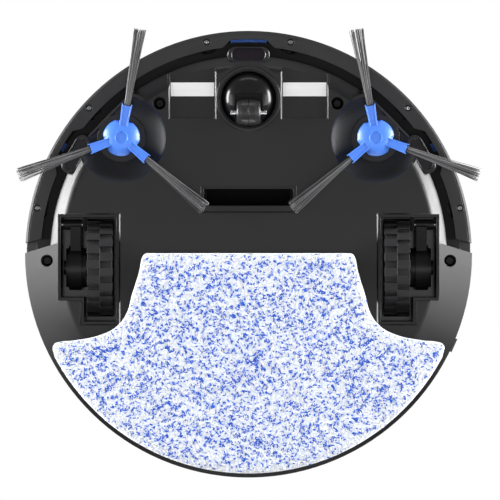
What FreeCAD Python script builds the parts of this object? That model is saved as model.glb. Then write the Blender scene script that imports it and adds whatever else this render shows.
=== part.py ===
import FreeCAD, Part
import math
import os

# Robot vacuum with a mop, resting on the floor plane z = 0.
# Millimetres. Front (the bumper) faces -Y, +Z is up, and the robot's own left is +X.

# ---- driving dimensions ------------------------------------------------------------
BODY_R = 155.0        # outline of the body
BASE_Z = 10.0         # flat underside above the floor
PLATE = 2.5           # floor thickness of the base
WALL = 2.0            # side wall thickness
FLAT_R = 129.0        # where the flat underside ends
BEVEL_R = 137.3       # outer edge of the front bevel
BEVEL_Z = 17.5        # height of that edge
LEDGE_R = 146.7       # front side wall behind the bumper
LEDGE_Z = 22.0        # recessed ledge above the bumper's flange
SKIRT_Z = 24.0        # lower edge of the rear side wall
PARTING_Z = 32.0      # joint between base and side frame
COVER_Z = 70.0        # joint between side frame and top cover
TOP_Z = 78.0
SHOULDER_X = 131.0    # inner end of the slanted shoulder line
SHOULDER_Y = -7.9
SHOULDER_SLOPE = 0.3
REACH = 175.0         # larger than the body, for trimming shapes

BUMPER_R = 154.6
BUMPER_WALL = 2.2
BUMPER_Z = 16.0
BUMPER_TOP = 69.5
BUMPER_TRAVEL = 3.5
FLANGE_R = 143.9      # inner edge of the bumper's lower flange
FLANGE_T = 3.0
LIP = 0.9             # 45 degree edge round the openings of the underside
NOTCH_R = 148.8       # flange edge beside the drop sensors
NOTCH_HALF = (20.0, 12.0)   # half length of a notch at its mouth and at its bottom
BUMPER_END = -10.6    # Y where the flange's inner edge ends
SCREW_R = 149.7
SCREW_ANGLES = (11.2, 47.5, 77.7)
SCREW_HEAD_R = 1.75
SCREW_SINK_R = 2.4
SCREW_POCKET_R = 8.5  # clearance in the ledge round each screw post
STOP_HALF = (12.5, 3.0)     # half length of the front foam pad and of the side pads
STOP_TOP = 34.0
WINDOW_ANGLE = 38.0   # half width of the dark window in the bumper
WINDOW_Z = (36.0, 57.0)
LEVER_X = 46.0
LEVER_Y = -131.0
LEVER_TIP = (62.0, -137.4)
LEVER_Z = (40.0, 45.0)

SENSOR_ANGLE = 60.0   # side drop sensors, from the front
SENSOR_R = 138.0
SENSOR_PLACES = (-SENSOR_ANGLE, 0.0, SENSOR_ANGLE)
SENSOR_RIM = (29.4, 11.0)
SENSOR_WINDOW = (22.9, 8.1)
SENSOR_EDGE = 0.6     # 45 degree edges of the sensor housings

BRUSH_X = 88.0
BRUSH_Y = -80.5
BRUSH_WELL_R = 29.8
BRUSH_WELL_DEPTH = 5.5
BRUSH_BOSS = (16.6, 4.0)    # radius of the flat round the shaft and its depth
BRUSH_RIB_Y = -135.5  # straight rib that closes the outer side of a brush well
BRUSH_RIB_ANGLE = 45.5
BRUSH_RIB_HALF = 25.0
BRUSH_ARM_ANGLES = (-100.0, 20.0, 140.0)
# sections of a hub arm and of a tuft: distance, half width, lower and upper height
ARM_ROOT = (8.0, 2.7, 5.6, 11.2)
ARM_END = (23.5, 3.6, 4.6, 9.0)
TUFT_ROOT = (17.0, 2.0, 6.2, 8.6)
TUFT_TIP = (77.0, 4.6, 0.8, 2.3)
DRIVE_SQUARE = 2.6    # half width of the shaft's square end
GEAR_MODULE = 1.0
GEAR_TEETH = 26
PINION_TEETH = 12
GEAR_BACKLASH = 0.25
GEAR_Z = (20.0, 24.0)
PINION_DISTANCE = GEAR_MODULE * (GEAR_TEETH + PINION_TEETH) / 2 + GEAR_BACKLASH
PINION_X = BRUSH_X - PINION_DISTANCE
SHAFT_R = 4.1
PINION_SHAFT_R = 1.5
CASE_R = GEAR_MODULE * GEAR_TEETH / 2 + 1.2
CASE_SMALL_R = 8.0

WHEEL_R = 34.0
WHEEL_W = 17.7
WHEEL_X = 94.0        # inner face of the wheel
WHEEL_Y = 9.5
PIVOT_Y = -20.5
PIVOT_Z = 27.0
MOTOR_R = 13.5
PIN_R = 1.5           # pivot pins and the caster's axle
LUGS = 20
RIM_R = 27.0
SPOKE_R = 15.5        # circle of the holes in the wheel's web
HUB_BORE = 4.0
CAN_X = (111.9, 126.6)
ARM_X = (115.8, 128.5)
SPRING_X = 119.5
WELL_Z = (BASE_Z - 1, COVER_Z + 4)
WELL_FRONT = (89.6, 131.8, -27.4, 31.9)   # wheel well, wide part: X and Y range
WELL_REAR = (89.6, 115.7, 30.0, 48.5)     # wheel well, narrow part
WELL_STEP = 1.8

CASTER_Y = -107.4
CASTER_R = 22.6
CASTER_TRAIL = 9.4
CASTER_WHEEL_R = 9.4
CASTER_WHEEL_W = 16.5
CASTER_TOP = 34.0
CASTER_STEM_R = 3.0
DOME_R = 18.6
DOME_Z = (5.2, 28.0)

INLET_X = 31.0
INLET_Y = (-45.1, -33.5)
CONTACT_X = (23.7, 53.9)
CONTACT_Y = (-118.7, -109.2)
RECESS_Y = (-126.0, -94.0)  # recess round a charging contact
# screws of the base: X, Y, radius of the hole and its height
BASE_SCREWS = ((61.5, -104.3, 4.4, 28.0), (139.6, 4.6, 4.2, 30.0))
BATTERY_OPENING = ((-40.0, 40.0), (4.0, 76.0))
RAIL_X = (47.0, 53.0)       # rails that the mop plate slides on

BIN_X = 70.0
BIN_Y = 8.0
BIN_Z = (36.0, 67.4)
MOUTH_X = 29.0
MOUTH_Z = (38.5, 50.0)
OUTLET_X = 24.0
OUTLET_Z = (55.0, 65.0)
BIN_WALL = 1.8
PLEATS = 12
LATCH_X = 13.0
LATCH_Z = (48.0, 57.0)
LATCH_ROOM = 5.5      # depth of the latch's pocket in the rear face
LATCH_TRAVEL = 2.0

FAN_Y = -65.0
FAN_R = 28.0
FAN_Z = (38.0, 54.0)
FAN_WALL = 1.6
NOZZLE_X = 54.0
NOZZLE_W = 14.0
BLADES = 9

MOP_PLATE_Z = (4.5, 9.7)
MOP_R = 151.5
MOP_FRONT = [(71.4, -0.4), (73.2, 2.8), (75.0, 11.6), (80.0, 28.2)]
MOP_HIP = [(83.9, 41.5), (90.5, 50.3), (101.6, 56.4), (119.3, 60.3)]
MOP_WING = [(132.6, 61.8), (135.2, 63.4), (134.6, 67.0), (133.0, 72.5)]
MOP_RIBS_Y = (30.0, 75.0, 110.0)

PANEL_R = 116.0       # round inlay in the top cover
BUTTON_Y = -92.0
BUTTON_R = 11.0
RING_R = (BUTTON_R + 1.8, BUTTON_R + 4.1)   # light ring round the power button

ROCKER_ANGLE = 24.0   # side fittings, from the robot's left towards the rear
ROCKER_X = 151.0
ROCKER_Z = (46.0, 52.5, 59.0)
ROCKER_AXIS_X = 152.0
JACK_ANGLE = 36.0
JACK_Z = 52.0
EYE_ANGLES = (-14.0, 0.0, 14.0)
EYE_R = 2.5
EYE_Z = 47.0
BOARD_Z = (70.2, 71.8)
FIT = 0.05            # radial clearance of running shafts
GAP = 0.3             # clearance between loose neighbours

X_AXIS = FreeCAD.Vector(1, 0, 0)
Y_AXIS = FreeCAD.Vector(0, 1, 0)
Z_AXIS = FreeCAD.Vector(0, 0, 1)
ORIGIN = FreeCAD.Vector(0, 0, 0)
ALL_Z = (0.0, 100.0)  # taller than the whole body


# ---- shape helpers -------------------------------------------------------------------
def box(x, y, z):
    corner = FreeCAD.Vector(min(x), min(y), min(z))
    return Part.makeBox(abs(x[1] - x[0]), abs(y[1] - y[0]), abs(z[1] - z[0]), corner)


def disc(x, y, radius, z):
    return Part.makeCylinder(radius, z[1] - z[0], FreeCAD.Vector(x, y, z[0]))


def rod(x, y, z, radius):
    """Cylinder along X."""
    return Part.makeCylinder(radius, x[1] - x[0], FreeCAD.Vector(x[0], y, z), X_AXIS)


def ring(inner, outer, z, x=0.0, y=0.0):
    return disc(x, y, outer, z).cut(disc(x, y, inner, z))


def slab(outline, z):
    points = [FreeCAD.Vector(x, y, z[0]) for x, y in outline]
    face = Part.Face(Part.makePolygon(points + points[:1]))
    return face.extrude(FreeCAD.Vector(0, 0, z[1] - z[0]))


def turned(profile, x=0.0, y=0.0):
    """Solid of revolution about a vertical axis from (radius, height) points."""
    points = [FreeCAD.Vector(x + r, y, z) for r, z in profile]
    face = Part.Face(Part.makePolygon(points + points[:1]))
    return face.revolve(FreeCAD.Vector(x, y, 0), Z_AXIS, 360)


def turned_smooth(curve, corners, x, y):
    """Solid of revolution whose profile is a smooth curve closed by straight lines."""
    knots = [FreeCAD.Vector(x + r, y, z) for r, z in curve]
    spline = Part.BSplineCurve()
    spline.interpolate(knots)
    rest = [knots[-1]] + [FreeCAD.Vector(x + r, y, z) for r, z in corners] + [knots[0]]
    wire = Part.Wire([spline.toShape()] + Part.makePolygon(rest).Edges)
    return Part.Face(wire).revolve(FreeCAD.Vector(x, y, 0), Z_AXIS, 360)


def side_extrusion(outline, x):
    """Prism along X from (y, z) points."""
    points = [FreeCAD.Vector(x[0], y, z) for y, z in outline]
    face = Part.Face(Part.makePolygon(points + points[:1]))
    return face.extrude(FreeCAD.Vector(x[1] - x[0], 0, 0))


def stadium(length, width, z):
    half = (length - width) / 2
    body = box((-half, half), (-width / 2, width / 2), z)
    for end in (-half, half):
        body = body.fuse(disc(end, 0, width / 2, z))
    return body.removeSplitter()


def turn(shape, degrees):
    """Copy of the shape turned about the body's centre line."""
    copy = shape.copy()
    copy.rotate(ORIGIN, Z_AXIS, degrees)
    return copy


def shift(shape, x=0.0, y=0.0, z=0.0):
    copy = shape.copy()
    copy.translate(FreeCAD.Vector(x, y, z))
    return copy


def mirror(shape):
    return shape.mirror(ORIGIN, X_AXIS)


def both(shape):
    return [shape, mirror(shape)]


def turn_both(shape, degrees):
    """Copies of a shape from the front, turned to each side."""
    return [turn(shape, degrees), turn(shape, -degrees)]


def join(shape, others):
    for other in others:
        shape = shape.fuse(other)
    return shape.removeSplitter()


def drill(shape, others):
    for other in others:
        shape = shape.cut(other)
    return shape


def rectangle(x, y, z, grow):
    x0, x1 = x[0] - grow, x[1] + grow
    y0, y1 = y[0] - grow, y[1] + grow
    corners = [(x0, y0), (x1, y0), (x1, y1), (x0, y1), (x0, y0)]
    return Part.makePolygon([FreeCAD.Vector(px, py, z) for px, py in corners])


def mouth_chamfer(x, y, z, width):
    """Tool that slopes the lower edges of a rectangular opening at 45 degrees."""
    return Part.makeLoft([rectangle(x, y, z, width), rectangle(x, y, z + width, 0)], True, True)


def fillet_circles(shape, radius, circle_r, z):
    """Round the horizontal circular edges of one radius at one height."""
    edges = []
    for edge in shape.Edges:
        curve = edge.Curve
        if isinstance(curve, Part.Circle) and abs(curve.Radius - circle_r) < 0.01:
            if abs(curve.Center.z - z) < 0.01:
                edges.append(edge)
    return shape.makeFillet(radius, edges)


def level_edges(shape, z):
    """Edges that lie flat at one height."""
    return [edge for edge in shape.Edges if edge.BoundBox.ZLength < 0.01 and abs(edge.BoundBox.ZMin - z) < 0.01]


def tapered_bar(near, far, angle):
    """Bar that runs outwards between two sections, turned about the brush's own shaft."""
    wires = []
    for distance, half, low, high in (near, far):
        corners = [(-half, low), (half, low), (half, high), (-half, high), (-half, low)]
        wires.append(Part.makePolygon([FreeCAD.Vector(distance, y, z) for y, z in corners]))
    bar = Part.makeLoft(wires, True, True)
    return shift(turn(bar, angle), BRUSH_X, BRUSH_Y)


def front_region(slack, z):
    """Everything in front of the slanted shoulder line, moved back by the slack."""
    end = SHOULDER_Y + SHOULDER_SLOPE * (REACH - SHOULDER_X) + slack
    near = SHOULDER_Y + slack
    outline = [(-REACH, end), (-SHOULDER_X, near), (SHOULDER_X, near), (REACH, end)]
    return slab(outline + [(REACH, -REACH), (-REACH, -REACH)], z)


def bumper_region(z):
    """Everything in front of the bumper's slanted ends."""
    end = BUMPER_END + SHOULDER_SLOPE * (REACH - FLANGE_R)
    outline = [(-REACH, end), (-FLANGE_R, BUMPER_END), (FLANGE_R, BUMPER_END), (REACH, end)]
    return slab(outline + [(REACH, -REACH), (-REACH, -REACH)], z)


def export(name, solids):
    shape = solids[0] if len(solids) == 1 else Part.makeCompound(solids)
    shape.exportStep("parts/" + name + ".step")


# ---- body shell ------------------------------------------------------------------------
def well_volume(grow, z):
    """L-shaped wheel well on the left: deep part round the wheel, wide part round the motor."""
    x0, x1, y0, y1 = WELL_FRONT
    wide = box((x0 - grow, x1 + grow), (y0 - grow, y1 + grow), z)
    x0, x1, y0, y1 = WELL_REAR
    narrow = box((x0 - grow, x1 + grow), (y0, y1 + grow), z)
    return wide.fuse(narrow).removeSplitter()


def front_solid(inset, floor, z_top):
    bevel = (BEVEL_Z - BASE_Z) / (BEVEL_R - FLAT_R)
    rise = floor - BASE_Z
    profile = [(0, floor), (FLAT_R - inset * 0.4, floor)]
    profile += [(BEVEL_R - inset, BEVEL_Z + rise - inset * 0.4 * bevel), (BEVEL_R - inset, LEDGE_Z + rise)]
    profile += [(LEDGE_R - inset, LEDGE_Z + rise), (LEDGE_R - inset, z_top), (0, z_top)]
    return turned(profile)


def rear_solid(inset, floor, z_top):
    rise = floor - BASE_Z
    skirt = SKIRT_Z + rise - 0.3 * inset
    profile = [(0, floor), (FLAT_R - inset * 0.3, floor)]
    profile += [(BODY_R - inset, skirt), (BODY_R - inset, z_top), (0, z_top)]
    return turned(profile)


def shell_by_region(front, rear, slack, z):
    region = front_region(slack, z)
    return front.common(region).fuse(rear.cut(region)).removeSplitter()


def place_sensor(shape, angle):
    """Move a shape drawn at the origin to a drop sensor's place, long side along the rim."""
    moved = shift(shape, y=-SENSOR_R)
    return turn(moved, angle)


def base_shell():
    """Open tray of the base, with its bevels, skirt and recessed ledge."""
    outer = shell_by_region(
        fillet_circles(front_solid(0, BASE_Z, PARTING_Z), 6.0, FLAT_R, BASE_Z),
        fillet_circles(rear_solid(0, BASE_Z, PARTING_Z), 6.0, FLAT_R, BASE_Z), 0, ALL_Z)
    inner = shell_by_region(front_solid(WALL, BASE_Z + PLATE, PARTING_Z + 1),
                            rear_solid(WALL, BASE_Z + PLATE, PARTING_Z + 1), WALL, ALL_Z)
    return outer.cut(inner)


def add_wheel_wells(base):
    """Walls of the wells, up to the cover, and the stepped openings through the floor."""
    wall = well_volume(WALL - WELL_STEP, (BASE_Z + 1, COVER_Z)).cut(well_volume(-WELL_STEP, WELL_Z))
    base = join(base, both(wall))
    base = drill(base, both(well_volume(0, (BASE_Z - 1, BASE_Z + 1.6))))
    base = drill(base, both(well_volume(-WELL_STEP, WELL_Z)))
    for x0, x1, y0, y1 in (WELL_FRONT, WELL_REAR):
        base = drill(base, both(mouth_chamfer((x0, x1), (y0, y1), BASE_Z, LIP)))
    return base


def add_brush_wells(base):
    """Dished wells of the side brushes, with the hole for the drive shaft and an outer rib."""
    cup = disc(BRUSH_X, BRUSH_Y, BRUSH_WELL_R + 2, (BASE_Z + 1, BASE_Z + 8))
    floor = BASE_Z + BRUSH_WELL_DEPTH
    boss_r, boss_depth = BRUSH_BOSS
    middle = (BRUSH_WELL_R + boss_r) / 2
    curve = [(BRUSH_WELL_R, BASE_Z + LIP), (middle, BASE_Z + 0.72 * BRUSH_WELL_DEPTH), (boss_r, floor)]
    corners = [(boss_r, BASE_Z + boss_depth), (0, BASE_Z + boss_depth), (0, BASE_Z - 1)]
    corners += [(BRUSH_WELL_R + LIP, BASE_Z - 1), (BRUSH_WELL_R + LIP, BASE_Z)]
    dish = turned_smooth(curve, corners, BRUSH_X, BRUSH_Y)
    trim = disc(0, 0, BEVEL_R - 0.6, ALL_Z)
    bore = disc(BRUSH_X, BRUSH_Y, SHAFT_R + FIT, ALL_Z)
    base = join(base, both(cup.common(trim)))
    base = drill(base, both(dish.common(trim)) + both(bore))
    section = [(BRUSH_RIB_Y - 1.2, BASE_Z + 5.0), (BRUSH_RIB_Y - 0.2, BASE_Z + 4.0),
               (BRUSH_RIB_Y + 0.2, BASE_Z + 4.0), (BRUSH_RIB_Y + 1.2, BASE_Z + 5.0),
               (BRUSH_RIB_Y + 1.2, BASE_Z + 7.5), (BRUSH_RIB_Y - 1.2, BASE_Z + 7.5)]
    rib = side_extrusion(section, (-BRUSH_RIB_HALF, BRUSH_RIB_HALF))
    return join(base, turn_both(rib, BRUSH_RIB_ANGLE))


def add_sensor_housings(base):
    """Drop sensor housings that stand down from the ledge."""
    mouth = BASE_Z + 3.5
    rim = stadium(SENSOR_RIM[0], SENSOR_RIM[1], (mouth, LEDGE_Z + WALL))
    window = stadium(SENSOR_WINDOW[0], SENSOR_WINDOW[1], (0, LEDGE_Z))
    rim = rim.cut(window)
    rim = rim.makeChamfer(SENSOR_EDGE, level_edges(rim, mouth))
    for angle in SENSOR_PLACES:
        base = base.fuse(place_sensor(rim, angle)).cut(place_sensor(window, angle))
    return base


def add_front_openings(base):
    """Caster seat, suction inlet and the recesses of the charging contacts."""
    collar = disc(0, CASTER_Y, CASTER_R + 2.4, (BASE_Z, BASE_Z + 12))
    seat = disc(0, CASTER_Y, CASTER_R + 0.1, ALL_Z)
    inlet_step = box((-INLET_X - 2, INLET_X + 2), (INLET_Y[0] - 2, INLET_Y[1] + 5), (BASE_Z - 1, BASE_Z + 1))
    inlet = box((-INLET_X, INLET_X), INLET_Y, ALL_Z)
    base = base.fuse(collar).cut(inlet_step).cut(inlet)
    x = (CONTACT_X[0] - 0.5, CONTACT_X[1] + 0.5)
    pad = box((CONTACT_X[0] - 3, CONTACT_X[1] + 2), (RECESS_Y[0], RECESS_Y[1] + 2), (BASE_Z + 1, BASE_Z + 5))
    recess = box(x, (-REACH, RECESS_Y[1]), (BASE_Z - 1, BASE_Z + 2.2)).common(disc(0, 0, BEVEL_R + 5, ALL_Z))
    base = join(base, both(pad.common(disc(0, 0, BEVEL_R - 1, ALL_Z))))
    lip = mouth_chamfer(x, RECESS_Y, BASE_Z, LIP)
    return drill(base, both(recess) + both(lip) + [seat])


def add_screw_places(base):
    """Deep holes of the base's screws, and pockets in the ledge that clear the bumper's posts."""
    for x, y, radius, top in BASE_SCREWS:
        boss = disc(x, y, radius + 2, (BASE_Z + 3, top)).common(rear_solid(0.5, BASE_Z, PARTING_Z))
        base = join(base, both(boss))
        base = drill(base, both(disc(x, y, radius, (0, top - 2))) + both(disc(x, y, 1.8, ALL_Z)))
    pocket = disc(0, -SCREW_R, SCREW_POCKET_R, (LEDGE_Z - 1, LEDGE_Z + 5))
    pocket = pocket.common(disc(0, 0, LEDGE_R - WALL - 0.1, ALL_Z))
    for angle in SCREW_ANGLES:
        base = drill(base, turn_both(pocket, angle))
    return base


def base_chassis():
    base = add_wheel_wells(base_shell())
    base = add_brush_wells(base)
    base = add_sensor_housings(base)
    base = add_front_openings(base)
    base = add_screw_places(base)

    # ears that carry the wheel arm's pivot pin, and the pin's hole in the outer wall
    ear = box((113.0, 115.0), (-26, PIVOT_Y + 4.5), (PIVOT_Z - 5, PIVOT_Z + 5))
    base = join(base, both(ear))
    base = drill(base, both(rod((112, 138), PIVOT_Y, PIVOT_Z, PIN_R)))

    # battery opening and the grooves for the mop plate's rails
    rail_block = box((RAIL_X[0] - 3, RAIL_X[1] + 3), (14, 112), (BASE_Z + PLATE - 1, BASE_Z + 5))
    groove = box((RAIL_X[0] - GAP, RAIL_X[1] + GAP), (18, REACH), (BASE_Z - 1, BASE_Z + 2.5))
    opening = box(BATTERY_OPENING[0], BATTERY_OPENING[1], ALL_Z)
    base = join(base, both(rail_block))
    return drill(base, both(groove) + [opening])


def side_frame():
    z = (PARTING_Z, COVER_Z)
    outer = shell_by_region(disc(0, 0, LEDGE_R, z), disc(0, 0, BODY_R, z), 0, ALL_Z)
    inner = shell_by_region(disc(0, 0, LEDGE_R - WALL, z), disc(0, 0, BODY_R - WALL, z), WALL, ALL_Z)
    frame = outer.cut(inner)

    # bay of the dust bin: floor, sides and front wall, open to the rear
    shell = box((-BIN_X - 2.5, BIN_X + 2.5), (BIN_Y - 2.5, REACH), (BIN_Z[0] - 2.3, COVER_Z))
    room = box((-BIN_X - 0.4, BIN_X + 0.4), (BIN_Y - 0.4, REACH), (BIN_Z[0] - 0.4, COVER_Z + 1))
    bay = shell.common(disc(0, 0, BODY_R - 1, ALL_Z)).cut(room)
    frame = join(frame, [bay])
    frame = frame.cut(box((-BIN_X - 0.4, BIN_X + 0.4), (BIN_Y, REACH), (BIN_Z[0] - 0.4, COVER_Z - 0.6)))
    mouth = box((-MOUTH_X, MOUTH_X), (0, BIN_Y + 1), MOUTH_Z)
    outlet = box((-OUTLET_X, OUTLET_X), (0, BIN_Y + 1), OUTLET_Z)
    frame = drill(frame, [mouth, outlet])

    # windows for the bump levers and posts that they turn on
    frame = drill(frame, both(box((48, 71), (-150, -125), (39, 46))))
    shelf = box((30, 62), (-150, -124), (35, 37)).common(disc(0, 0, LEDGE_R - 1, ALL_Z))
    post = disc(LEVER_X, LEVER_Y, PIN_R, (36, 47))
    frame = join(frame, both(shelf.fuse(post)))

    # holes for the infra-red eyes, the side switch and the charging jack
    frame = drill(frame, [dock_eye(EYE_R + 0.02, angle) for angle in EYE_ANGLES])
    frame = drill(frame, [turn(box((140, REACH), (-5.3, 5.3), (44.7, 60.3)), ROCKER_ANGLE)])
    jack_hole = rod((140, REACH), 0, JACK_Z, 5.0)
    return frame.cut(turn(jack_hole, JACK_ANGLE))


def top_cover():
    rim = LEDGE_R - WALL - 1
    cover = turned([(0, TOP_Z - PLATE), (rim, TOP_Z - PLATE), (rim, COVER_Z), (BODY_R, COVER_Z),
                    (BODY_R, TOP_Z), (0, TOP_Z)])
    cover = fillet_circles(cover, 4.5, BODY_R, TOP_Z)
    panel_seat = disc(0, 0, PANEL_R + 0.2, (TOP_Z - 1, TOP_Z + 1))
    button_hole = disc(0, BUTTON_Y, BUTTON_R + 4.2, (0, TOP_Z + 1))
    return cover.cut(panel_seat).cut(button_hole)


def top_panel():
    panel = disc(0, 0, PANEL_R, (TOP_Z - 1, TOP_Z + 0.4))
    panel = fillet_circles(panel, 0.35, PANEL_R, TOP_Z + 0.4)
    return panel.cut(disc(0, BUTTON_Y, BUTTON_R + 4.2, (0, TOP_Z + 1)))


def light_ring():
    flange = ring(RING_R[0], RING_R[1] + 1.4, (TOP_Z - PLATE - 1.2, TOP_Z - PLATE), 0, BUTTON_Y)
    collar = ring(RING_R[0], RING_R[1], (TOP_Z - PLATE, TOP_Z + 0.5), 0, BUTTON_Y)
    return flange.fuse(collar).removeSplitter()


def power_button():
    cap = disc(0, BUTTON_Y, BUTTON_R + 1.5, (TOP_Z - 3, TOP_Z + 1.4))
    cap = fillet_circles(cap, 1.0, BUTTON_R + 1.5, TOP_Z + 1.4)
    stem = disc(0, BUTTON_Y, 2.5, (TOP_Z - 3.6, TOP_Z - 3))
    return cap.fuse(stem).removeSplitter()


# ---- bumper -----------------------------------------------------------------------------
def flange_notches(z):
    """Wedges that step the flange's inner edge outwards at the drop sensors."""
    wide, narrow = NOTCH_HALF
    mouth = -FLANGE_R + 3
    wedge = slab([(-wide, mouth), (-narrow, -NOTCH_R), (narrow, -NOTCH_R), (wide, mouth)], z)
    wedge = wedge.common(disc(0, 0, NOTCH_R, z))
    return [turn(wedge, angle) for angle in SENSOR_PLACES]


def bumper_shell():
    inner = BUMPER_R - BUMPER_WALL
    wall = ring(inner, BUMPER_R, (BUMPER_Z, BUMPER_TOP))
    wall = fillet_circles(wall, 1.2, BUMPER_R, BUMPER_TOP)
    outline = [edge for edge in level_edges(wall, BUMPER_Z) if edge.Curve.Radius > inner + 1]
    wall = wall.makeChamfer(1.4, outline)
    top_lip = ring(inner - 1.4, inner + 0.5, (BUMPER_TOP - 2, BUMPER_TOP - 0.3))
    seat_z = (BUMPER_Z + FLANGE_T, BUMPER_Z + FLANGE_T + 1.8)
    seat = drill(ring(FLANGE_R + 1.6, inner + 0.5, seat_z), flange_notches(ALL_Z))
    shell = join(wall, [top_lip, seat]).common(bumper_region(ALL_Z))
    pilot = disc(0, -SCREW_R, 1.0, (BUMPER_Z, seat_z[1] - 0.3))
    for angle in SCREW_ANGLES:
        shell = drill(shell, turn_both(pilot, angle))
    return shell.cut(window_block(0.0))


def window_block(inset):
    """Curved band at the front of the bumper wall, less the inset all round."""
    z = (WINDOW_Z[0] + inset, WINDOW_Z[1] - inset)
    half = math.radians(WINDOW_ANGLE) - inset / BUMPER_R
    far = (REACH * math.tan(half), -REACH)
    wedge = slab([(0, 0), (-far[0], far[1]), far], z)
    return ring(BUMPER_R - BUMPER_WALL - 1, BUMPER_R + 1, z).common(wedge)


def bumper_window():
    wall = ring(BUMPER_R - BUMPER_WALL, BUMPER_R + 0.2, ALL_Z)
    return window_block(0.15).common(wall)


def bumper_retainer():
    z = (BUMPER_Z, BUMPER_Z + FLANGE_T)
    flange = ring(FLANGE_R, BUMPER_R - BUMPER_WALL - 0.1, z)
    flange = drill(flange, flange_notches(ALL_Z)).common(bumper_region(ALL_Z))
    hole = disc(0, -SCREW_R, 1.3, z)
    sink = disc(0, -SCREW_R, SCREW_SINK_R, (BUMPER_Z - 1, BUMPER_Z + 1.6))
    for angle in SCREW_ANGLES:
        flange = drill(flange, turn_both(hole, angle) + turn_both(sink, angle))
    return flange


def cross_screw(head_r, head_h, shank_r, length):
    """Pan-head screw, head down at z = 0, with a cross recess."""
    head = fillet_circles(disc(0, 0, head_r, (0, head_h)), head_h * 0.55, head_r, 0)
    screw = head.fuse(disc(0, 0, shank_r, (head_h, length)))
    slot = box((-head_r * 0.6, head_r * 0.6), (-head_r * 0.14, head_r * 0.14), (-0.1, head_h * 0.6))
    for angle in (30.0, 120.0):
        screw = screw.cut(turn(slot, angle))
    return screw.removeSplitter()


def bumper_screws():
    screws = []
    screw = shift(cross_screw(SCREW_HEAD_R, 1.2, 0.98, 4.1), y=-SCREW_R, z=BUMPER_Z + 0.4)
    for angle in SCREW_ANGLES:
        screws += turn_both(screw, angle)
    return screws


def bump_stops():
    """Foam pads between the front wall and the bumper: a long one in front, two short ones."""
    outer = BUMPER_R - BUMPER_WALL - BUMPER_TRAVEL - 0.1
    band = ring(LEDGE_R, outer, (LEDGE_Z + 1, STOP_TOP))
    front, side = [band.common(box((-half, half), (-REACH, 0), ALL_Z)) for half in STOP_HALF]
    return [front] + turn_both(side, SENSOR_ANGLE)


def bump_lever():
    hub = disc(LEVER_X, LEVER_Y, 3.2, LEVER_Z)
    tip = disc(LEVER_TIP[0], LEVER_TIP[1], 1.5, LEVER_Z)
    tip_x, tip_y = LEVER_TIP
    arm = slab([(LEVER_X, LEVER_Y - 1.6), (tip_x, tip_y - 1.2), (tip_x, tip_y + 1.3),
                (LEVER_X, LEVER_Y + 1.6)], LEVER_Z)
    flag = box((LEVER_X - 9, LEVER_X), (LEVER_Y - 0.7, LEVER_Y + 0.7), LEVER_Z)
    lever = join(hub, [tip, arm, flag])
    return lever.cut(disc(LEVER_X, LEVER_Y, PIN_R + FIT, (0, 60)))


def bump_switch():
    """Fork-shaped light gate that the lever's flag leaves when the bumper is pushed."""
    body = box((LEVER_X - 14, LEVER_X - 6.5), (LEVER_Y - 5, LEVER_Y + 4), (37, 48))
    return body.cut(box((LEVER_X - 12, LEVER_X), (LEVER_Y - 3.6, LEVER_Y + 2.4), (39, 49)))


# ---- drive wheels ------------------------------------------------------------------------
def arm_bar(y0, z0, y1, z1, half, x):
    """Straight bar in the plane of the arm between two points."""
    length = math.hypot(y1 - y0, z1 - z0)
    ny = -(z1 - z0) / length * half
    nz = (y1 - y0) / length * half
    outline = [(y0 + ny, z0 + nz), (y1 + ny, z1 + nz), (y1 - ny, z1 - nz), (y0 - ny, z0 - nz)]
    return side_extrusion(outline, x)


def wheel_arm():
    """Trailing arm: a boss on the pivot, a web and a clamp round the motor."""
    side = (100, 140)
    boss = rod(ARM_X, PIVOT_Y, PIVOT_Z, 3.6)
    clamp = rod((ARM_X[0], 124.6), WHEEL_Y, WHEEL_R, MOTOR_R + 2.0)
    web = arm_bar(PIVOT_Y, PIVOT_Z, WHEEL_Y, WHEEL_R, 7.0, (ARM_X[0] + 0.5, 123.5))
    web = web.cut(rod(side, PIVOT_Y, PIVOT_Z, 5.2)).common(box(side, (PIVOT_Y - 2, WHEEL_Y), (0, 60)))
    strap = arm_bar(PIVOT_Y, PIVOT_Z, WHEEL_Y, WHEEL_R, 3.4, (ARM_X[0], 123.5))
    spring_seat = disc(SPRING_X, WHEEL_Y, 5.0, (WHEEL_R + MOTOR_R, WHEEL_R + MOTOR_R + 3.5))
    arm = join(boss, [clamp, web, strap, spring_seat])
    can = rod(side, WHEEL_Y, WHEEL_R, MOTOR_R + 0.02)
    return drill(arm, [can, rod(side, PIVOT_Y, PIVOT_Z, PIN_R + FIT)])


def wheel_motor():
    """Round motor with its gearbox, on the wheel's own axis."""
    can = rod(CAN_X, WHEEL_Y, WHEEL_R, MOTOR_R)
    groove = ring_rod((120.6, 122.0), MOTOR_R - 0.7, MOTOR_R + 1)
    cap = rod((126.6, 128.2), WHEEL_Y, WHEEL_R, 5.0)
    bore = rod((CAN_X[0] - 1, CAN_X[0] + 7), WHEEL_Y, WHEEL_R, HUB_BORE + FIT)
    return can.cut(groove).fuse(cap).cut(bore).removeSplitter()


def ring_rod(x, inner, outer):
    """Annulus on the wheel's axis."""
    return rod(x, WHEEL_Y, WHEEL_R, outer).cut(rod(x, WHEEL_Y, WHEEL_R, inner))


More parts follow.
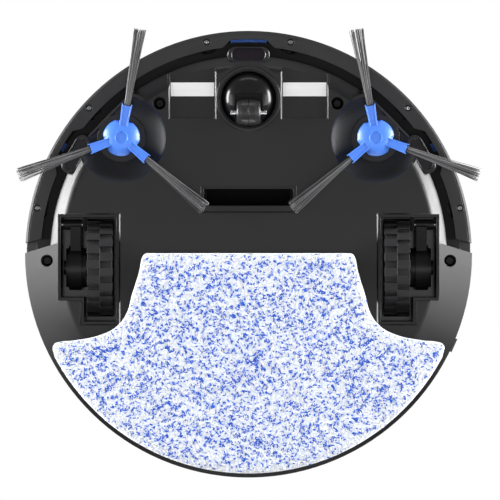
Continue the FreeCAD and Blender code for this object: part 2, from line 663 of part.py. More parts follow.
def wheel_hub():
    x0 = WHEEL_X
    x1 = WHEEL_X + WHEEL_W
    barrel = ring_rod((x0 + 0.8, x1 - 0.8), RIM_R - 2.2, RIM_R)
    web = rod((x0 + 7, x0 + 10), WHEEL_Y, WHEEL_R, RIM_R - 1)
    boss = rod((x0 + 2, x1 - 1), WHEEL_Y, WHEEL_R, 6.0)
    stub = rod((x1 - 1, CAN_X[0] + 6), WHEEL_Y, WHEEL_R, HUB_BORE)
    hub = join(barrel, [web, boss, stub])
    for index in range(6):
        angle = math.radians(60 * index)
        y = WHEEL_Y + SPOKE_R * math.cos(angle)
        z = WHEEL_R + SPOKE_R * math.sin(angle)
        hub = hub.cut(rod((x0, x1), y, z, 4.6))
    return hub


def wheel_tyre():
    x0 = WHEEL_X
    x1 = WHEEL_X + WHEEL_W
    middle = (x0 + x1) / 2
    tread_r = WHEEL_R - 2.0
    tyre = ring_rod((x0 + 0.4, x1 - 0.4), RIM_R, tread_r)
    pitch = 360.0 / LUGS
    lugs = []
    for row, (a, b) in enumerate(((x0, middle), (middle, x1))):
        points = [FreeCAD.Vector(x, WHEEL_Y, WHEEL_R + r)
                  for x, r in ((a, tread_r - 0.6), (b, tread_r - 0.6), (b, WHEEL_R - 0.02), (a, WHEEL_R - 0.02))]
        face = Part.Face(Part.makePolygon(points + points[:1]))
        lug = face.revolve(FreeCAD.Vector(0, WHEEL_Y, WHEEL_R), X_AXIS, pitch * 0.55)
        for index in range(LUGS):
            copy = lug.copy()
            copy.rotate(FreeCAD.Vector(0, WHEEL_Y, WHEEL_R), X_AXIS, pitch * (index + 0.5 * row))
            lugs.append(copy)
    return tyre.multiFuse(lugs).removeSplitter()


def suspension_spring():
    """Compression spring that pushes the arm down from the top of the well."""
    low = WHEEL_R + MOTOR_R + 3.8
    high = COVER_Z + 3.6
    helix = Part.makeHelix((high - low - 1.2) / 6, high - low - 1.2, 3.4)
    wire = Part.Wire(Part.makeCircle(0.55, FreeCAD.Vector(3.4, 0, 0), Y_AXIS))
    coil = Part.Wire(helix).makePipeShell([wire], True, True)
    return shift(coil, SPRING_X, WHEEL_Y, low + 0.6)


def pivot_pin():
    return rod((113.2, 133.5), PIVOT_Y, PIVOT_Z, PIN_R)


# ---- side brushes ---------------------------------------------------------------------------
def gear_outline(teeth, x, y, phase):
    """Straight-sided tooth outline about a centre, slim enough to run with backlash."""
    pitch_r = GEAR_MODULE * teeth / 2
    step = 2 * math.pi / teeth
    points = []
    for index in range(teeth):
        middle = phase + index * step
        for offset, radius in ((-0.27, -1.15), (-0.11, 0.75), (0.11, 0.75), (0.27, -1.15)):
            angle = middle + offset * step
            r = pitch_r + radius * GEAR_MODULE
            points.append((x + r * math.cos(angle), y + r * math.sin(angle)))
    return points


def drive_square(slack, z):
    half = DRIVE_SQUARE + slack
    return box((BRUSH_X - half, BRUSH_X + half), (BRUSH_Y - half, BRUSH_Y + half), z)


def brush_gear():
    """Gear with its shaft, which comes down through the base and ends square in the hub."""
    gear = slab(gear_outline(GEAR_TEETH, BRUSH_X, BRUSH_Y, math.pi), GEAR_Z)
    shaft = disc(BRUSH_X, BRUSH_Y, SHAFT_R, (BASE_Z + 3.4, GEAR_Z[1] + 2))
    square = drive_square(0, (BASE_Z - 1.5, BASE_Z + 4))
    return join(gear, [shaft, square])


def brush_pinion():
    half_step = math.pi / PINION_TEETH
    pinion = slab(gear_outline(PINION_TEETH, PINION_X, BRUSH_Y, half_step), GEAR_Z)
    shaft = disc(PINION_X, BRUSH_Y, PINION_SHAFT_R, (GEAR_Z[0] - 1, GEAR_Z[1] + 5))
    return join(pinion, [shaft])


def gear_case():
    """Box that closes the brush gears in on top of the base."""
    def footprint(grow, z):
        wide = disc(BRUSH_X, BRUSH_Y, CASE_R + grow, z)
        half = CASE_SMALL_R + grow
        small = disc(PINION_X, BRUSH_Y, half, z)
        bridge = box((PINION_X, BRUSH_X), (BRUSH_Y - half, BRUSH_Y + half), z)
        return wide.fuse(small).fuse(bridge).removeSplitter()

    case = footprint(1.0, (BASE_Z + 8, GEAR_Z[1] + 3)).cut(footprint(0, (BASE_Z + 9.2, GEAR_Z[1] + 1)))
    shaft_hole = disc(BRUSH_X, BRUSH_Y, SHAFT_R + FIT, (0, 60))
    motor_hole = disc(PINION_X, BRUSH_Y, PINION_SHAFT_R + FIT, (0, 60))
    return drill(case, [shaft_hole, motor_hole])


def brush_motor():
    can = disc(PINION_X, BRUSH_Y, 10.0, (GEAR_Z[1] + 3, GEAR_Z[1] + 27))
    flats = box((PINION_X - 7.6, PINION_X + 7.6), (BRUSH_Y - 12, BRUSH_Y + 12), ALL_Z)
    bore = disc(PINION_X, BRUSH_Y, PINION_SHAFT_R + FIT, (GEAR_Z[1], GEAR_Z[1] + 6))
    return can.common(flats).cut(bore)


def brush_hub():
    """Clip-on hub: a low dome with a round cap and three channel arms that hold the tufts."""
    dome = turned([(0, 5.4), (4.2, 5.4), (4.4, 5.0), (9.0, 5.6), (11.6, 7.0), (12.8, 9.4), (12.8, 12.6),
                   (0, 12.6)], BRUSH_X, BRUSH_Y)
    hub = join(dome, [tapered_bar(ARM_ROOT, ARM_END, angle) for angle in BRUSH_ARM_ANGLES])
    return drill(hub, [drive_square(0.05, (BASE_Z - 1.6, 20))] + brush_tufts())


def brush_tufts():
    """Three tufts of nylon bristle that slope down to just above the floor and fan out."""
    return [tapered_bar(TUFT_ROOT, TUFT_TIP, angle) for angle in BRUSH_ARM_ANGLES]


# ---- caster --------------------------------------------------------------------------------------
def caster_socket():
    cup = disc(0, CASTER_Y, CASTER_R, (BASE_Z - 0.4, CASTER_TOP))
    cavity = disc(0, CASTER_Y, CASTER_R - 2.0, (0, BASE_Z + 5))
    throat = disc(0, CASTER_Y, CASTER_R - 3.4, (0, CASTER_TOP - 3))
    stem_hole = disc(0, CASTER_Y, CASTER_STEM_R + FIT, (0, 60))
    cup = fillet_circles(cup, 0.8, CASTER_R, BASE_Z - 0.4)
    return drill(cup, [cavity, throat, stem_hole])


def caster_fork():
    """Swivelling dome with a slot for the wheel and a stem that turns in the socket."""
    low, high = DOME_Z
    curve = [(0, low), (6.0, low + 0.35), (10.5, low + 1.5), (14.2, low + 3.5), (17.0, low + 6.5), (DOME_R, low + 10.5)]
    dome = turned_smooth(curve, [(DOME_R, high), (0, high)], 0, CASTER_Y)
    stem = disc(0, CASTER_Y, CASTER_STEM_R, (high, CASTER_TOP - 0.4))
    axle_y = CASTER_Y + CASTER_TRAIL
    slot = box((-9.7, 9.7), (CASTER_Y - 3.8, CASTER_Y + 30), (0, CASTER_WHEEL_R * 2 + 1.6))
    fork = dome.fuse(stem).removeSplitter().cut(slot)
    pocket = disc(12.4, axle_y, 4.8, (0, CASTER_WHEEL_R - 0.6))
    fork = drill(fork, both(pocket))
    return fork.cut(rod((-12.6, 12.6), axle_y, CASTER_WHEEL_R, PIN_R))


def caster_axle():
    return rod((-12.5, 12.5), CASTER_Y + CASTER_TRAIL, CASTER_WHEEL_R, PIN_R)


def caster_wheel():
    """Barrel-shaped wheel with a seam round the middle."""
    half = CASTER_WHEEL_W / 2
    r = CASTER_WHEEL_R
    profile = [(-half, 0), (-half, r - 2.2), (-half + 1.0, r - 1.2), (-4.5, r - 0.3), (-0.3, r), (-0.3, r - 0.3),
               (0.3, r - 0.3), (0.3, r), (4.5, r - 0.3), (half - 1.0, r - 1.2), (half, r - 2.2), (half, 0)]
    centre = FreeCAD.Vector(0, CASTER_Y + CASTER_TRAIL, CASTER_WHEEL_R)
    points = [centre + FreeCAD.Vector(x, 0, z) for x, z in profile]
    wheel = Part.Face(Part.makePolygon(points + points[:1])).revolve(centre, X_AXIS, 360)
    return wheel.cut(rod((-20, 20), centre.y, centre.z, PIN_R + FIT))


# ---- underside fittings ----------------------------------------------------------------------------
def charge_contacts():
    plate = box(CONTACT_X, CONTACT_Y, (BASE_Z + 1.2, BASE_Z + 2.2))
    return both(plate)


def drop_sensors():
    plates = []
    for angle in SENSOR_PLACES:
        plate = stadium(SENSOR_WINDOW[0] - 0.1, SENSOR_WINDOW[1] - 0.1, (BASE_Z + 4.4, BASE_Z + 6.4))
        plates.append(place_sensor(plate, angle))
    return plates


def chassis_screws():
    screws = []
    for x, y, _, top in BASE_SCREWS:
        screw = shift(cross_screw(3.4, 2.0, 1.75, 9.0), x, y, top - 4.0)
        screws += both(screw)
    return screws


def inlet_lip():
    """Soft rubber strip along the rear edge of the suction inlet."""
    low = BASE_Z - 1.2
    strip = box((-INLET_X - 0.5, INLET_X + 0.5), (INLET_Y[1] + 0.2, INLET_Y[1] + 4.4), (low, BASE_Z + 1))
    return strip.makeFillet(0.9, level_edges(strip, low))


def battery_door():
    x, y = BATTERY_OPENING
    door = box((x[0] + 0.2, x[1] - 0.2), (y[0] + 0.2, y[1] - 0.2), (BASE_Z, BASE_Z + 2))
    for centre in (-34, 34):
        door = door.cut(disc(centre, 70, 2.4, (BASE_Z - 1, BASE_Z + 1.2)))
    return door


def battery_pack():
    pack = box((-37, 37), (5, 74), (BASE_Z + 2.3, BASE_Z + 22))
    long_edges = [edge for edge in pack.Edges if abs(edge.tangentAt(0).y) > 0.9]
    return pack.makeFillet(6.0, long_edges)


# ---- air path ----------------------------------------------------------------------------------------
def duct_outline(grow):
    y0 = INLET_Y[0] - grow
    y1 = INLET_Y[1] + grow
    end = BIN_Y - 2.6
    low = BASE_Z + PLATE
    return [(y0, low), (y1, low), (y1, 20 - grow), (end, MOUTH_Z[0] - grow), (end, MOUTH_Z[1] + grow),
            (y0, 28 + grow)]


def suction_duct():
    outer = side_extrusion(duct_outline(1.6), (-INLET_X - 1.6, INLET_X + 1.6))
    inner = side_extrusion(duct_outline(0), (-MOUTH_X, MOUTH_X))
    entry = box((-INLET_X, INLET_X), INLET_Y, (0, 20))
    exit_way = box((-MOUTH_X, MOUTH_X), (BIN_Y - 4, BIN_Y), MOUTH_Z)
    return drill(outer, [inner, entry, exit_way])


def fan_housing():
    """Round volute with a flat intake box that leads back to the bin, and a side nozzle."""
    front = FAN_Y - FAN_R
    low, high = FAN_Z
    volute = disc(0, FAN_Y, FAN_R, FAN_Z)
    nozzle = box((0, NOZZLE_X), (front, front + NOZZLE_W), FAN_Z)
    intake_x = OUTLET_X + FAN_WALL
    intake = box((-intake_x, intake_x), (FAN_Y - 20, BIN_Y - 2.6), (high - 1.4, 68))
    housing = join(volute, [nozzle, intake])
    inside = (low + FAN_WALL, high - FAN_WALL)
    chamber = disc(0, FAN_Y, FAN_R - FAN_WALL, inside)
    nozzle_room = box((0, NOZZLE_X + 1), (front + FAN_WALL, front + NOZZLE_W - FAN_WALL), inside)
    intake_room = box((-OUTLET_X, OUTLET_X), (FAN_Y - 20 + FAN_WALL, BIN_Y), (high, 68 - FAN_WALL))
    eye = disc(0, FAN_Y, 13, (low + 4, 60))
    shaft_hole = disc(0, FAN_Y, 2.2, (0, 50))
    return drill(housing, [chamber, nozzle_room, intake_room, eye, shaft_hole])


def fan_motor():
    can = disc(0, FAN_Y, 12.0, (15, FAN_Z[0]))
    return can.cut(disc(0, FAN_Y, PINION_SHAFT_R + FIT, (30, 60)))


def fan_impeller():
    low = FAN_Z[0] + 2.6
    plate = disc(0, FAN_Y, 24, (low, low + 1.4))
    hub = disc(0, FAN_Y, 5, (low, low + 8.4))
    shaft = disc(0, FAN_Y, PINION_SHAFT_R, (31, low + 0.4))
    blade = box((6, 23.5), (-0.6, 0.6), (low + 0.9, low + 9.9))
    blade.rotate(FreeCAD.Vector(6, 0, 0), Z_AXIS, -28)
    blades = [shift(turn(blade, index * 360.0 / BLADES), 0, FAN_Y) for index in range(BLADES)]
    return join(plate, [hub, shaft] + blades)


# ---- dust bin ------------------------------------------------------------------------------------------
def bin_block(inset, z, rear_inset):
    block = box((-BIN_X + inset, BIN_X - inset), (BIN_Y + inset, REACH), z)
    return block.common(disc(0, 0, BODY_R - rear_inset, ALL_Z))


def dust_bin():
    body = bin_block(0, BIN_Z, 0)
    upright = [edge for edge in body.Edges if abs(edge.tangentAt(edge.FirstParameter).z) > 0.9]
    body = body.makeFillet(5.0, [edge for edge in upright if edge.CenterOfMass.y < 20])
    room = bin_block(BIN_WALL, (BIN_Z[0] + BIN_WALL, 90), BIN_WALL + 6)
    mouth = box((-MOUTH_X, MOUTH_X), (0, BIN_Y + 4), MOUTH_Z)
    outlet = box((-OUTLET_X, OUTLET_X), (0, BIN_Y + 4), OUTLET_Z)
    latch_room = box((-LATCH_X - GAP, LATCH_X + GAP), (BODY_R - LATCH_ROOM, REACH),
                     (LATCH_Z[0] - GAP, LATCH_Z[1] + GAP))
    grip = box((-34, 34), (BODY_R - 4, REACH), (60.5, 64.5))
    return drill(body, [room, mouth, outlet, latch_room, grip])


def bin_lid():
    lid = bin_block(0.2, (BIN_Z[1], BIN_Z[1] + 1.6), 0.2)
    ribs = [box((x - 0.6, x + 0.6), (30, 130), (BIN_Z[1] - 1.5, BIN_Z[1])) for x in (-50, 50)]
    return join(lid, ribs)


def dust_filter():
    """Pleated filter in its frame, across the way to the fan."""
    frame = box((-OUTLET_X - 3, OUTLET_X + 3), (BIN_Y + 2, BIN_Y + 12), (OUTLET_Z[0] - 2.5, BIN_Z[1] - 0.2))
    for index in range(PLEATS):
        x = -OUTLET_X + 2 + index * 4.0
        pleat = box((x - 0.9, x + 0.9), (BIN_Y + 5, BIN_Y + 13), (OUTLET_Z[0], OUTLET_Z[1] + 0.4))
        frame = frame.cut(pleat)
    return frame


def bin_latch():
    front = BODY_R - LATCH_ROOM + LATCH_TRAVEL + 0.2
    button = box((-LATCH_X, LATCH_X), (front, REACH), LATCH_Z)
    return button.common(disc(0, 0, BODY_R + 0.6, ALL_Z))


# ---- mop -----------------------------------------------------------------------------------------------
def mop_prism(grow, radius, z):
    """Prism over the mop's outline, grown towards the front and the sides."""
    half = [(x + grow, y - grow) for x, y in MOP_FRONT + MOP_HIP + MOP_WING] + [(REACH, REACH)]
    outline = half + [(-x, y) for x, y in reversed(half)]
    return slab(outline, z).common(disc(0, 0, radius, (0, 50)))


def mop_plate():
    """Shallow tray, open below, with cross ribs and the two rails that hold it in the base."""
    low, high = MOP_PLATE_Z
    plate = mop_prism(-2.0, MOP_R - 2.0, MOP_PLATE_Z)
    hollow = mop_prism(-4.0, MOP_R - 4.0, (low - 1, high - 2))
    ribs = [box((-140, 140), (y - 1, y + 1), MOP_PLATE_Z).common(plate) for y in MOP_RIBS_Y]
    ribs += both(box(RAIL_X, (0, 150), MOP_PLATE_Z).common(plate))
    rails = both(box(RAIL_X, (20, 108), (high - 1, BASE_Z + 2.2)))
    return join(plate.cut(hollow), ribs + rails)


def mop_pad():
    return mop_prism(0, MOP_R, (0, MOP_PLATE_Z[0]))


# ---- electronics ------------------------------------------------------------------------------------------
def main_board():
    top = BOARD_Z[1]
    board = box((-70, 70), (-118, -4), BOARD_Z).common(disc(0, 0, 135, ALL_Z))
    controller = box((-50, -30), (-70, -50), (top, top + 1.6))
    driver = box((20, 34), (-60, -46), (top, top + 1.2))
    switch = box((-4, 4), (BUTTON_Y - 4, BUTTON_Y + 4), (top, TOP_Z - 4.5))
    connector = box((-30, 30), (-14, -8), (top, top + 2.7))
    return join(board, [controller, driver, switch, connector])


def charge_jack():
    barrel = rod((142, BODY_R - 0.4), 0, JACK_Z, 4.9)
    well = rod((145, BODY_R + 1), 0, JACK_Z, 3.2)
    pin = rod((144, 152), 0, JACK_Z, 1.0)
    return turn(barrel.cut(well).fuse(pin).removeSplitter(), JACK_ANGLE)


def power_rocker():
    """Two-position rocker, stored switched off with its lower half pressed in."""
    low, axis, high = ROCKER_Z
    face = [(ROCKER_X, low), (BODY_R - 0.6, low), (BODY_R + 0.2, axis), (BODY_R + 2.2, high), (ROCKER_X, high)]
    points = [FreeCAD.Vector(x, -5.0, z) for x, z in face]
    rocker = Part.Face(Part.makePolygon(points + points[:1])).extrude(FreeCAD.Vector(0, 10, 0))
    barrel = Part.makeCylinder(3.0, 10, FreeCAD.Vector(ROCKER_AXIS_X, -5.0, axis), Y_AXIS)
    return turn(rocker.fuse(barrel).removeSplitter(), ROCKER_ANGLE)


def dock_eye(radius, angle):
    start = FreeCAD.Vector(0, -LEDGE_R + 5, EYE_Z)
    return turn(Part.makeCylinder(radius, 6.5, start, -Y_AXIS), angle)


def dock_sensors():
    """Infra-red eyes in the front wall, behind the bumper's dark window."""
    return [dock_eye(EYE_R, angle) for angle in EYE_ANGLES]


# ---- write every piece ------------------------------------------------------------------------------------
# one piece each, or a list where one node is several like pieces
SINGLE_NODES = {
    "base_chassis": base_chassis, "side_frame": side_frame, "top_cover": top_cover, "top_panel": top_panel,
    "light_ring": light_ring, "power_button": power_button, "bumper_shell": bumper_shell,
    "bumper_window": bumper_window, "bumper_retainer": bumper_retainer, "bumper_screws": bumper_screws,
    "bump_stops": bump_stops, "charge_contacts": charge_contacts, "drop_sensors": drop_sensors,
    "chassis_screws": chassis_screws, "dock_sensors": dock_sensors, "inlet_lip": inlet_lip,
    "battery_door": battery_door, "battery_pack": battery_pack, "suction_duct": suction_duct,
    "fan_housing": fan_housing, "fan_motor": fan_motor, "fan_impeller": fan_impeller, "dust_bin": dust_bin,
    "bin_lid": bin_lid, "dust_filter": dust_filter, "bin_latch": bin_latch, "mop_plate": mop_plate,
    "mop_pad": mop_pad, "main_board": main_board, "charge_jack": charge_jack, "power_rocker": power_rocker,
    "caster_socket": caster_socket, "caster_fork": caster_fork, "caster_axle": caster_axle,
    "caster_wheel": caster_wheel,
}
# drawn on the left and mirrored: one node for each side
SIDE_NODES = {
    "bump_lever": bump_lever, "wheel_arm": wheel_arm, "wheel_motor": wheel_motor, "wheel_hub": wheel_hub,
    "wheel_tyre": wheel_tyre, "suspension_spring": suspension_spring, "brush_gear": brush_gear,
    "brush_pinion": brush_pinion, "brush_hub": brush_hub, "brush_tufts": brush_tufts,
}
# drawn on the left and mirrored: both sides in one node
PAIR_NODES = {
    "bump_switches": bump_switch, "pivot_pins": pivot_pin, "gear_cases": gear_case,
    "brush_motors": brush_motor,
}


def as_list(made):
    return made if isinstance(made, list) else [made]


os.makedirs("parts", exist_ok=True)
for name, make in SINGLE_NODES.items():
    export(name, as_list(make()))
for name, make in SIDE_NODES.items():
    solids = as_list(make())
    export(name + "_left", solids)
    export(name + "_right", [mirror(solid) for solid in solids])
for name, make in PAIR_NODES.items():
    export(name, both(make()))
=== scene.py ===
import bmesh
import bpy
import math
import numpy as np
from mathutils import Matrix, Vector


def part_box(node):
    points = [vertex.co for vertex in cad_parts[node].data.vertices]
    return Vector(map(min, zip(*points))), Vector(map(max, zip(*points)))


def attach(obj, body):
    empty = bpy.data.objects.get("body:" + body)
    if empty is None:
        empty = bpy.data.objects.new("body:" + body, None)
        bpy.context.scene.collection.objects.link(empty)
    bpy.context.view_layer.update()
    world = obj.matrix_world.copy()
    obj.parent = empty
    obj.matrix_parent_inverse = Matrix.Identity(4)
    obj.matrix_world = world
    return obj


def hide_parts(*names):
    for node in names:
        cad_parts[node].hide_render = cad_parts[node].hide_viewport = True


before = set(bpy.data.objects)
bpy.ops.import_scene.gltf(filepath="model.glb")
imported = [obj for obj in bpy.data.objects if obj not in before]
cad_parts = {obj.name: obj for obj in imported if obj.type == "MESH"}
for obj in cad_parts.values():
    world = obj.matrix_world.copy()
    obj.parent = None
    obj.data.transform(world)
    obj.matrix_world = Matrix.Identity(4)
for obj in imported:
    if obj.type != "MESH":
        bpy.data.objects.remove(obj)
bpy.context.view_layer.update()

MM = 0.001


# ---- Base moulding --------------------------------------------------------------------
# The underside, its bevels and the rear skirt are one moulding in black ABS. The tool is
# spark-eroded to a fine satin, and a painted highlight makes its edges a little lighter.
def add(material, kind, inputs=(), **options):
    """One shader node, with its options set and its sockets given values or links."""
    made = material.node_tree.nodes.new(kind)
    for option, value in options.items():
        setattr(made, option, value)
    for socket, value in dict(inputs).items():
        if isinstance(value, bpy.types.NodeSocket):
            material.node_tree.links.new(value, made.inputs[socket])
        else:
            made.inputs[socket].default_value = value
    return made


def link(material, source, shader, socket):
    material.node_tree.links.new(source, shader.inputs[socket])


def start_finish(name, colour, roughness, **sockets):
    """New material, with the shader's even values set on its own sockets."""
    material = bpy.data.materials.new(name)
    material.use_nodes = True
    shader = material.node_tree.nodes["Principled BSDF"]
    shader.inputs["Base Color"].default_value = (*colour, 1.0)
    shader.inputs["Roughness"].default_value = roughness
    for socket, value in sockets.items():
        shader.inputs[socket.replace("_", " ")].default_value = value
    return material, shader


def shade(colour, factor):
    return (*[min(1.0, part * factor) for part in colour], 1.0)


def moulded(name, colour, roughness, grain=0.7 * MM, depth=0.02 * MM, edge=0.45 * MM, edge_highlight_gain=2.4,
            **sockets):
    """Injection-moulded plastic: eroded grain, uneven gloss, rounded edges with a painted highlight."""
    material, shader = start_finish(name, colour, roughness, **sockets)
    place = add(material, "ShaderNodeTexCoord").outputs["Object"]
    speckle = add(material, "ShaderNodeTexNoise", {"Vector": place, "Scale": 1 / grain, "Detail": 3.0})
    drift = add(material, "ShaderNodeTexNoise", {"Vector": place, "Scale": 22.0, "Detail": 3.0})
    gloss = add(material, "ShaderNodeMapRange", {
        "Value": drift.outputs["Fac"], "From Min": 0.3, "From Max": 0.7,
        "To Min": max(0.02, roughness - 0.04), "To Max": roughness + 0.05})
    soft = add(material, "ShaderNodeBevel", {"Radius": edge}, samples=4).outputs["Normal"]
    relief = add(material, "ShaderNodeBump", {
        "Height": speckle.outputs["Fac"], "Distance": depth, "Normal": soft})
    flat = add(material, "ShaderNodeNewGeometry").outputs["Normal"]
    bend = add(material, "ShaderNodeVectorMath", {0: soft, 1: flat}, operation="DOT_PRODUCT")
    # Painted highlight: the colour is made lighter on rounded edges, where the bevelled normal turns away
    # from the face's own.
    edge_highlight_mask = add(material, "ShaderNodeMapRange", {
        "Value": bend.outputs["Value"], "From Min": 0.99, "From Max": 0.7, "To Min": 0.0, "To Max": 0.8})
    tone = add(material, "ShaderNodeMixRGB", {
        "Fac": speckle.outputs["Fac"], "Color1": shade(colour, 0.75), "Color2": shade(colour, 1.25)})
    highlighted_edges = add(material, "ShaderNodeMixRGB", {
        "Fac": edge_highlight_mask.outputs["Result"], "Color1": tone.outputs["Color"], "Color2": shade(colour, edge_highlight_gain)})
    link(material, highlighted_edges.outputs["Color"], shader, "Base Color")
    link(material, gloss.outputs["Result"], shader, "Roughness")
    link(material, relief.outputs["Normal"], shader, "Normal")
    return material


def dress(material, *nodes):
    """Give carried-over parts their finish."""
    for node in nodes:
        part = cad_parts[node]
        for place in part.material_slots:
            place.material = material


chassis_plastic = moulded("satin black moulding", (0.0085, 0.0085, 0.0095), 0.33, edge=0.25 * MM)
dress(chassis_plastic, "base_chassis", "battery_door")


LEDGE_BACK = -10.0 * MM          # the ledge ends here, and the skirt begins
SKIRT_R = 128.0 * MM
LIP_TOP = 15.5 * MM
LEDGE_Z = 21.0 * MM


def dull_inside(material, keep):
    """Take the shine off the deep faces: everything above the ledge but the outer skirt."""
    place = add(material, "ShaderNodeTexCoord").outputs["Object"]
    spot = add(material, "ShaderNodeSeparateXYZ", {"Vector": place})
    across = add(material, "ShaderNodeCombineXYZ", {"X": spot.outputs["X"], "Y": spot.outputs["Y"]})
    reach = add(material, "ShaderNodeVectorMath", {0: across.outputs["Vector"]}, operation="LENGTH")
    rear = add(material, "ShaderNodeMath", {0: spot.outputs["Y"], 1: LEDGE_BACK}, operation="GREATER_THAN")
    outside = add(material, "ShaderNodeMath", {0: reach.outputs["Value"], 1: SKIRT_R},
                  operation="GREATER_THAN")
    skirt = add(material, "ShaderNodeMath", {0: rear.outputs["Value"], 1: outside.outputs["Value"]},
                operation="MULTIPLY")
    depth = add(material, "ShaderNodeMapRange", {
        "Value": spot.outputs["Z"], "From Min": LIP_TOP, "From Max": LEDGE_Z})
    deep = add(material, "ShaderNodeMath", {0: depth.outputs["Result"], 1: skirt.outputs["Value"]},
               operation="SUBTRACT", use_clamp=True)
    shine = add(material, "ShaderNodeMapRange", {
        "Value": deep.outputs["Value"], "To Min": 0.5, "To Max": keep})
    shader = material.node_tree.nodes["Principled BSDF"]
    link(material, shine.outputs["Result"], shader, "Specular IOR Level")


dull_inside(chassis_plastic, 0.16)

# ---- Side frame and inner housings -------------------------------------------------------
# The side wall, the bay of the dust bin, the air duct, the fan's volute, the gear cases and the
# bump switches are black ABS too, with a coarser tool finish, because most of it is hidden.
frame_plastic = moulded("coarse black moulding", (0.009, 0.009, 0.0095), 0.5, grain=1.0 * MM,
                        depth=0.05 * MM)
inner_plastic = moulded("dull black moulding", (0.005, 0.005, 0.005), 0.65, Specular_IOR_Level=0.12)
dress(frame_plastic, "side_frame")
dress(inner_plastic, "suction_duct", "fan_housing", "gear_cases", "bump_switches")

# ---- Top cover, inlay, light ring and power button ----------------------------------------
# The cover is gloss black with a mirror-polished inlay. A milky ring lets the status light
# through round the power button, which is a satin cap with a soft edge.
cover_gloss = moulded("gloss black cover", (0.011, 0.011, 0.012), 0.14, grain=3.0 * MM,
                      depth=0.004 * MM, edge=0.5 * MM, Coat_Weight=0.5, Coat_Roughness=0.05)
panel_gloss = moulded("mirror black inlay", (0.006, 0.006, 0.007), 0.07, grain=5.0 * MM,
                      depth=0.003 * MM, Coat_Weight=1.0, Coat_Roughness=0.02)
button_plastic = moulded("satin black cap", (0.02, 0.02, 0.022), 0.3, grain=0.5 * MM, depth=0.01 * MM)
dress(cover_gloss, "top_cover")
dress(panel_gloss, "top_panel")
dress(button_plastic, "power_button", "power_rocker", "bin_latch")

light_diffuser, diffuser_shader = start_finish(
    "milky light ring", (0.78, 0.84, 0.92), 0.35, Subsurface_Weight=0.4, Subsurface_Scale=1.5 * MM)
cloud = add(light_diffuser, "ShaderNodeTexNoise", {
    "Vector": add(light_diffuser, "ShaderNodeTexCoord").outputs["Object"], "Scale": 300.0, "Detail": 2.0})
milk = add(light_diffuser, "ShaderNodeMixRGB", {
    "Fac": cloud.outputs["Fac"], "Color1": (0.7, 0.78, 0.9, 1), "Color2": (0.86, 0.9, 0.95, 1)})
link(light_diffuser, milk.outputs["Color"], diffuser_shader, "Base Color")
dress(light_diffuser, "light_ring")

# ---- Bumper -----------------------------------------------------------------------------
# The sprung bumper is dark grey ABS with a coarse eroded grain that hides scuffs. Its lower
# flange is a separate ring, screwed on from below, and a dark infra-red window fills its front.
bumper_plastic = moulded("grained bumper moulding", (0.015, 0.015, 0.0162), 0.46, grain=0.9 * MM,
                         depth=0.07 * MM, edge=0.5 * MM, edge_highlight_gain=3.0)
dress(bumper_plastic, "bumper_shell", "bumper_retainer")


def dark_lens(name, colour, roughness):
    """Dyed polycarbonate that passes infra-red only: black, polished, faintly wavy."""
    material, shader = start_finish(name, colour, roughness, Specular_IOR_Level=0.3)
    place = add(material, "ShaderNodeTexCoord").outputs["Object"]
    sink = add(material, "ShaderNodeTexNoise", {"Vector": place, "Scale": 120.0, "Detail": 2.0})
    tint = add(material, "ShaderNodeMixRGB", {
        "Fac": sink.outputs["Fac"], "Color1": shade(colour, 0.6), "Color2": shade(colour, 1.6)})
    relief = add(material, "ShaderNodeBump", {"Height": sink.outputs["Fac"], "Distance": 0.03 * MM})
    link(material, tint.outputs["Color"], shader, "Base Color")
    link(material, relief.outputs["Normal"], shader, "Normal")
    return material


smoked_lens = dark_lens("infra-red window", (0.008, 0.006, 0.009), 0.12)
dress(smoked_lens, "bumper_window", "drop_sensors", "dock_sensors")

# ---- Foam stops and bump levers ------------------------------------------------------------
# Blue closed-cell foam pads cushion the bumper at the front and at both sides. Two natural
# acetal levers carry its push to the light gates, and the brush gears are the same acetal.
foam_blue, foam_shader = start_finish("blue foam", (0.05, 0.13, 0.5), 0.9, Sheen_Weight=0.3)
cells = add(foam_blue, "ShaderNodeTexVoronoi", {
    "Vector": add(foam_blue, "ShaderNodeTexCoord").outputs["Object"], "Scale": 1500.0})
pores = add(foam_blue, "ShaderNodeMixRGB", {
    "Fac": cells.outputs["Distance"], "Color1": (0.03, 0.08, 0.36, 1), "Color2": (0.07, 0.19, 0.62, 1)})
pits = add(foam_blue, "ShaderNodeBump", {"Height": cells.outputs["Distance"], "Distance": 0.2 * MM})
link(foam_blue, pores.outputs["Color"], foam_shader, "Base Color")
link(foam_blue, pits.outputs["Normal"], foam_shader, "Normal")
dress(foam_blue, "bump_stops")

gear_acetal = moulded("natural acetal", (0.78, 0.76, 0.7), 0.35, grain=0.5 * MM, depth=0.01 * MM, edge_highlight_gain=1.1,
                      Subsurface_Weight=0.15, Subsurface_Scale=1.0 * MM)
SIDES = ("left", "right")
for side in SIDES:
    dress(gear_acetal, "bump_lever_" + side, "brush_gear_" + side, "brush_pinion_" + side)
dress(gear_acetal, "fan_impeller")


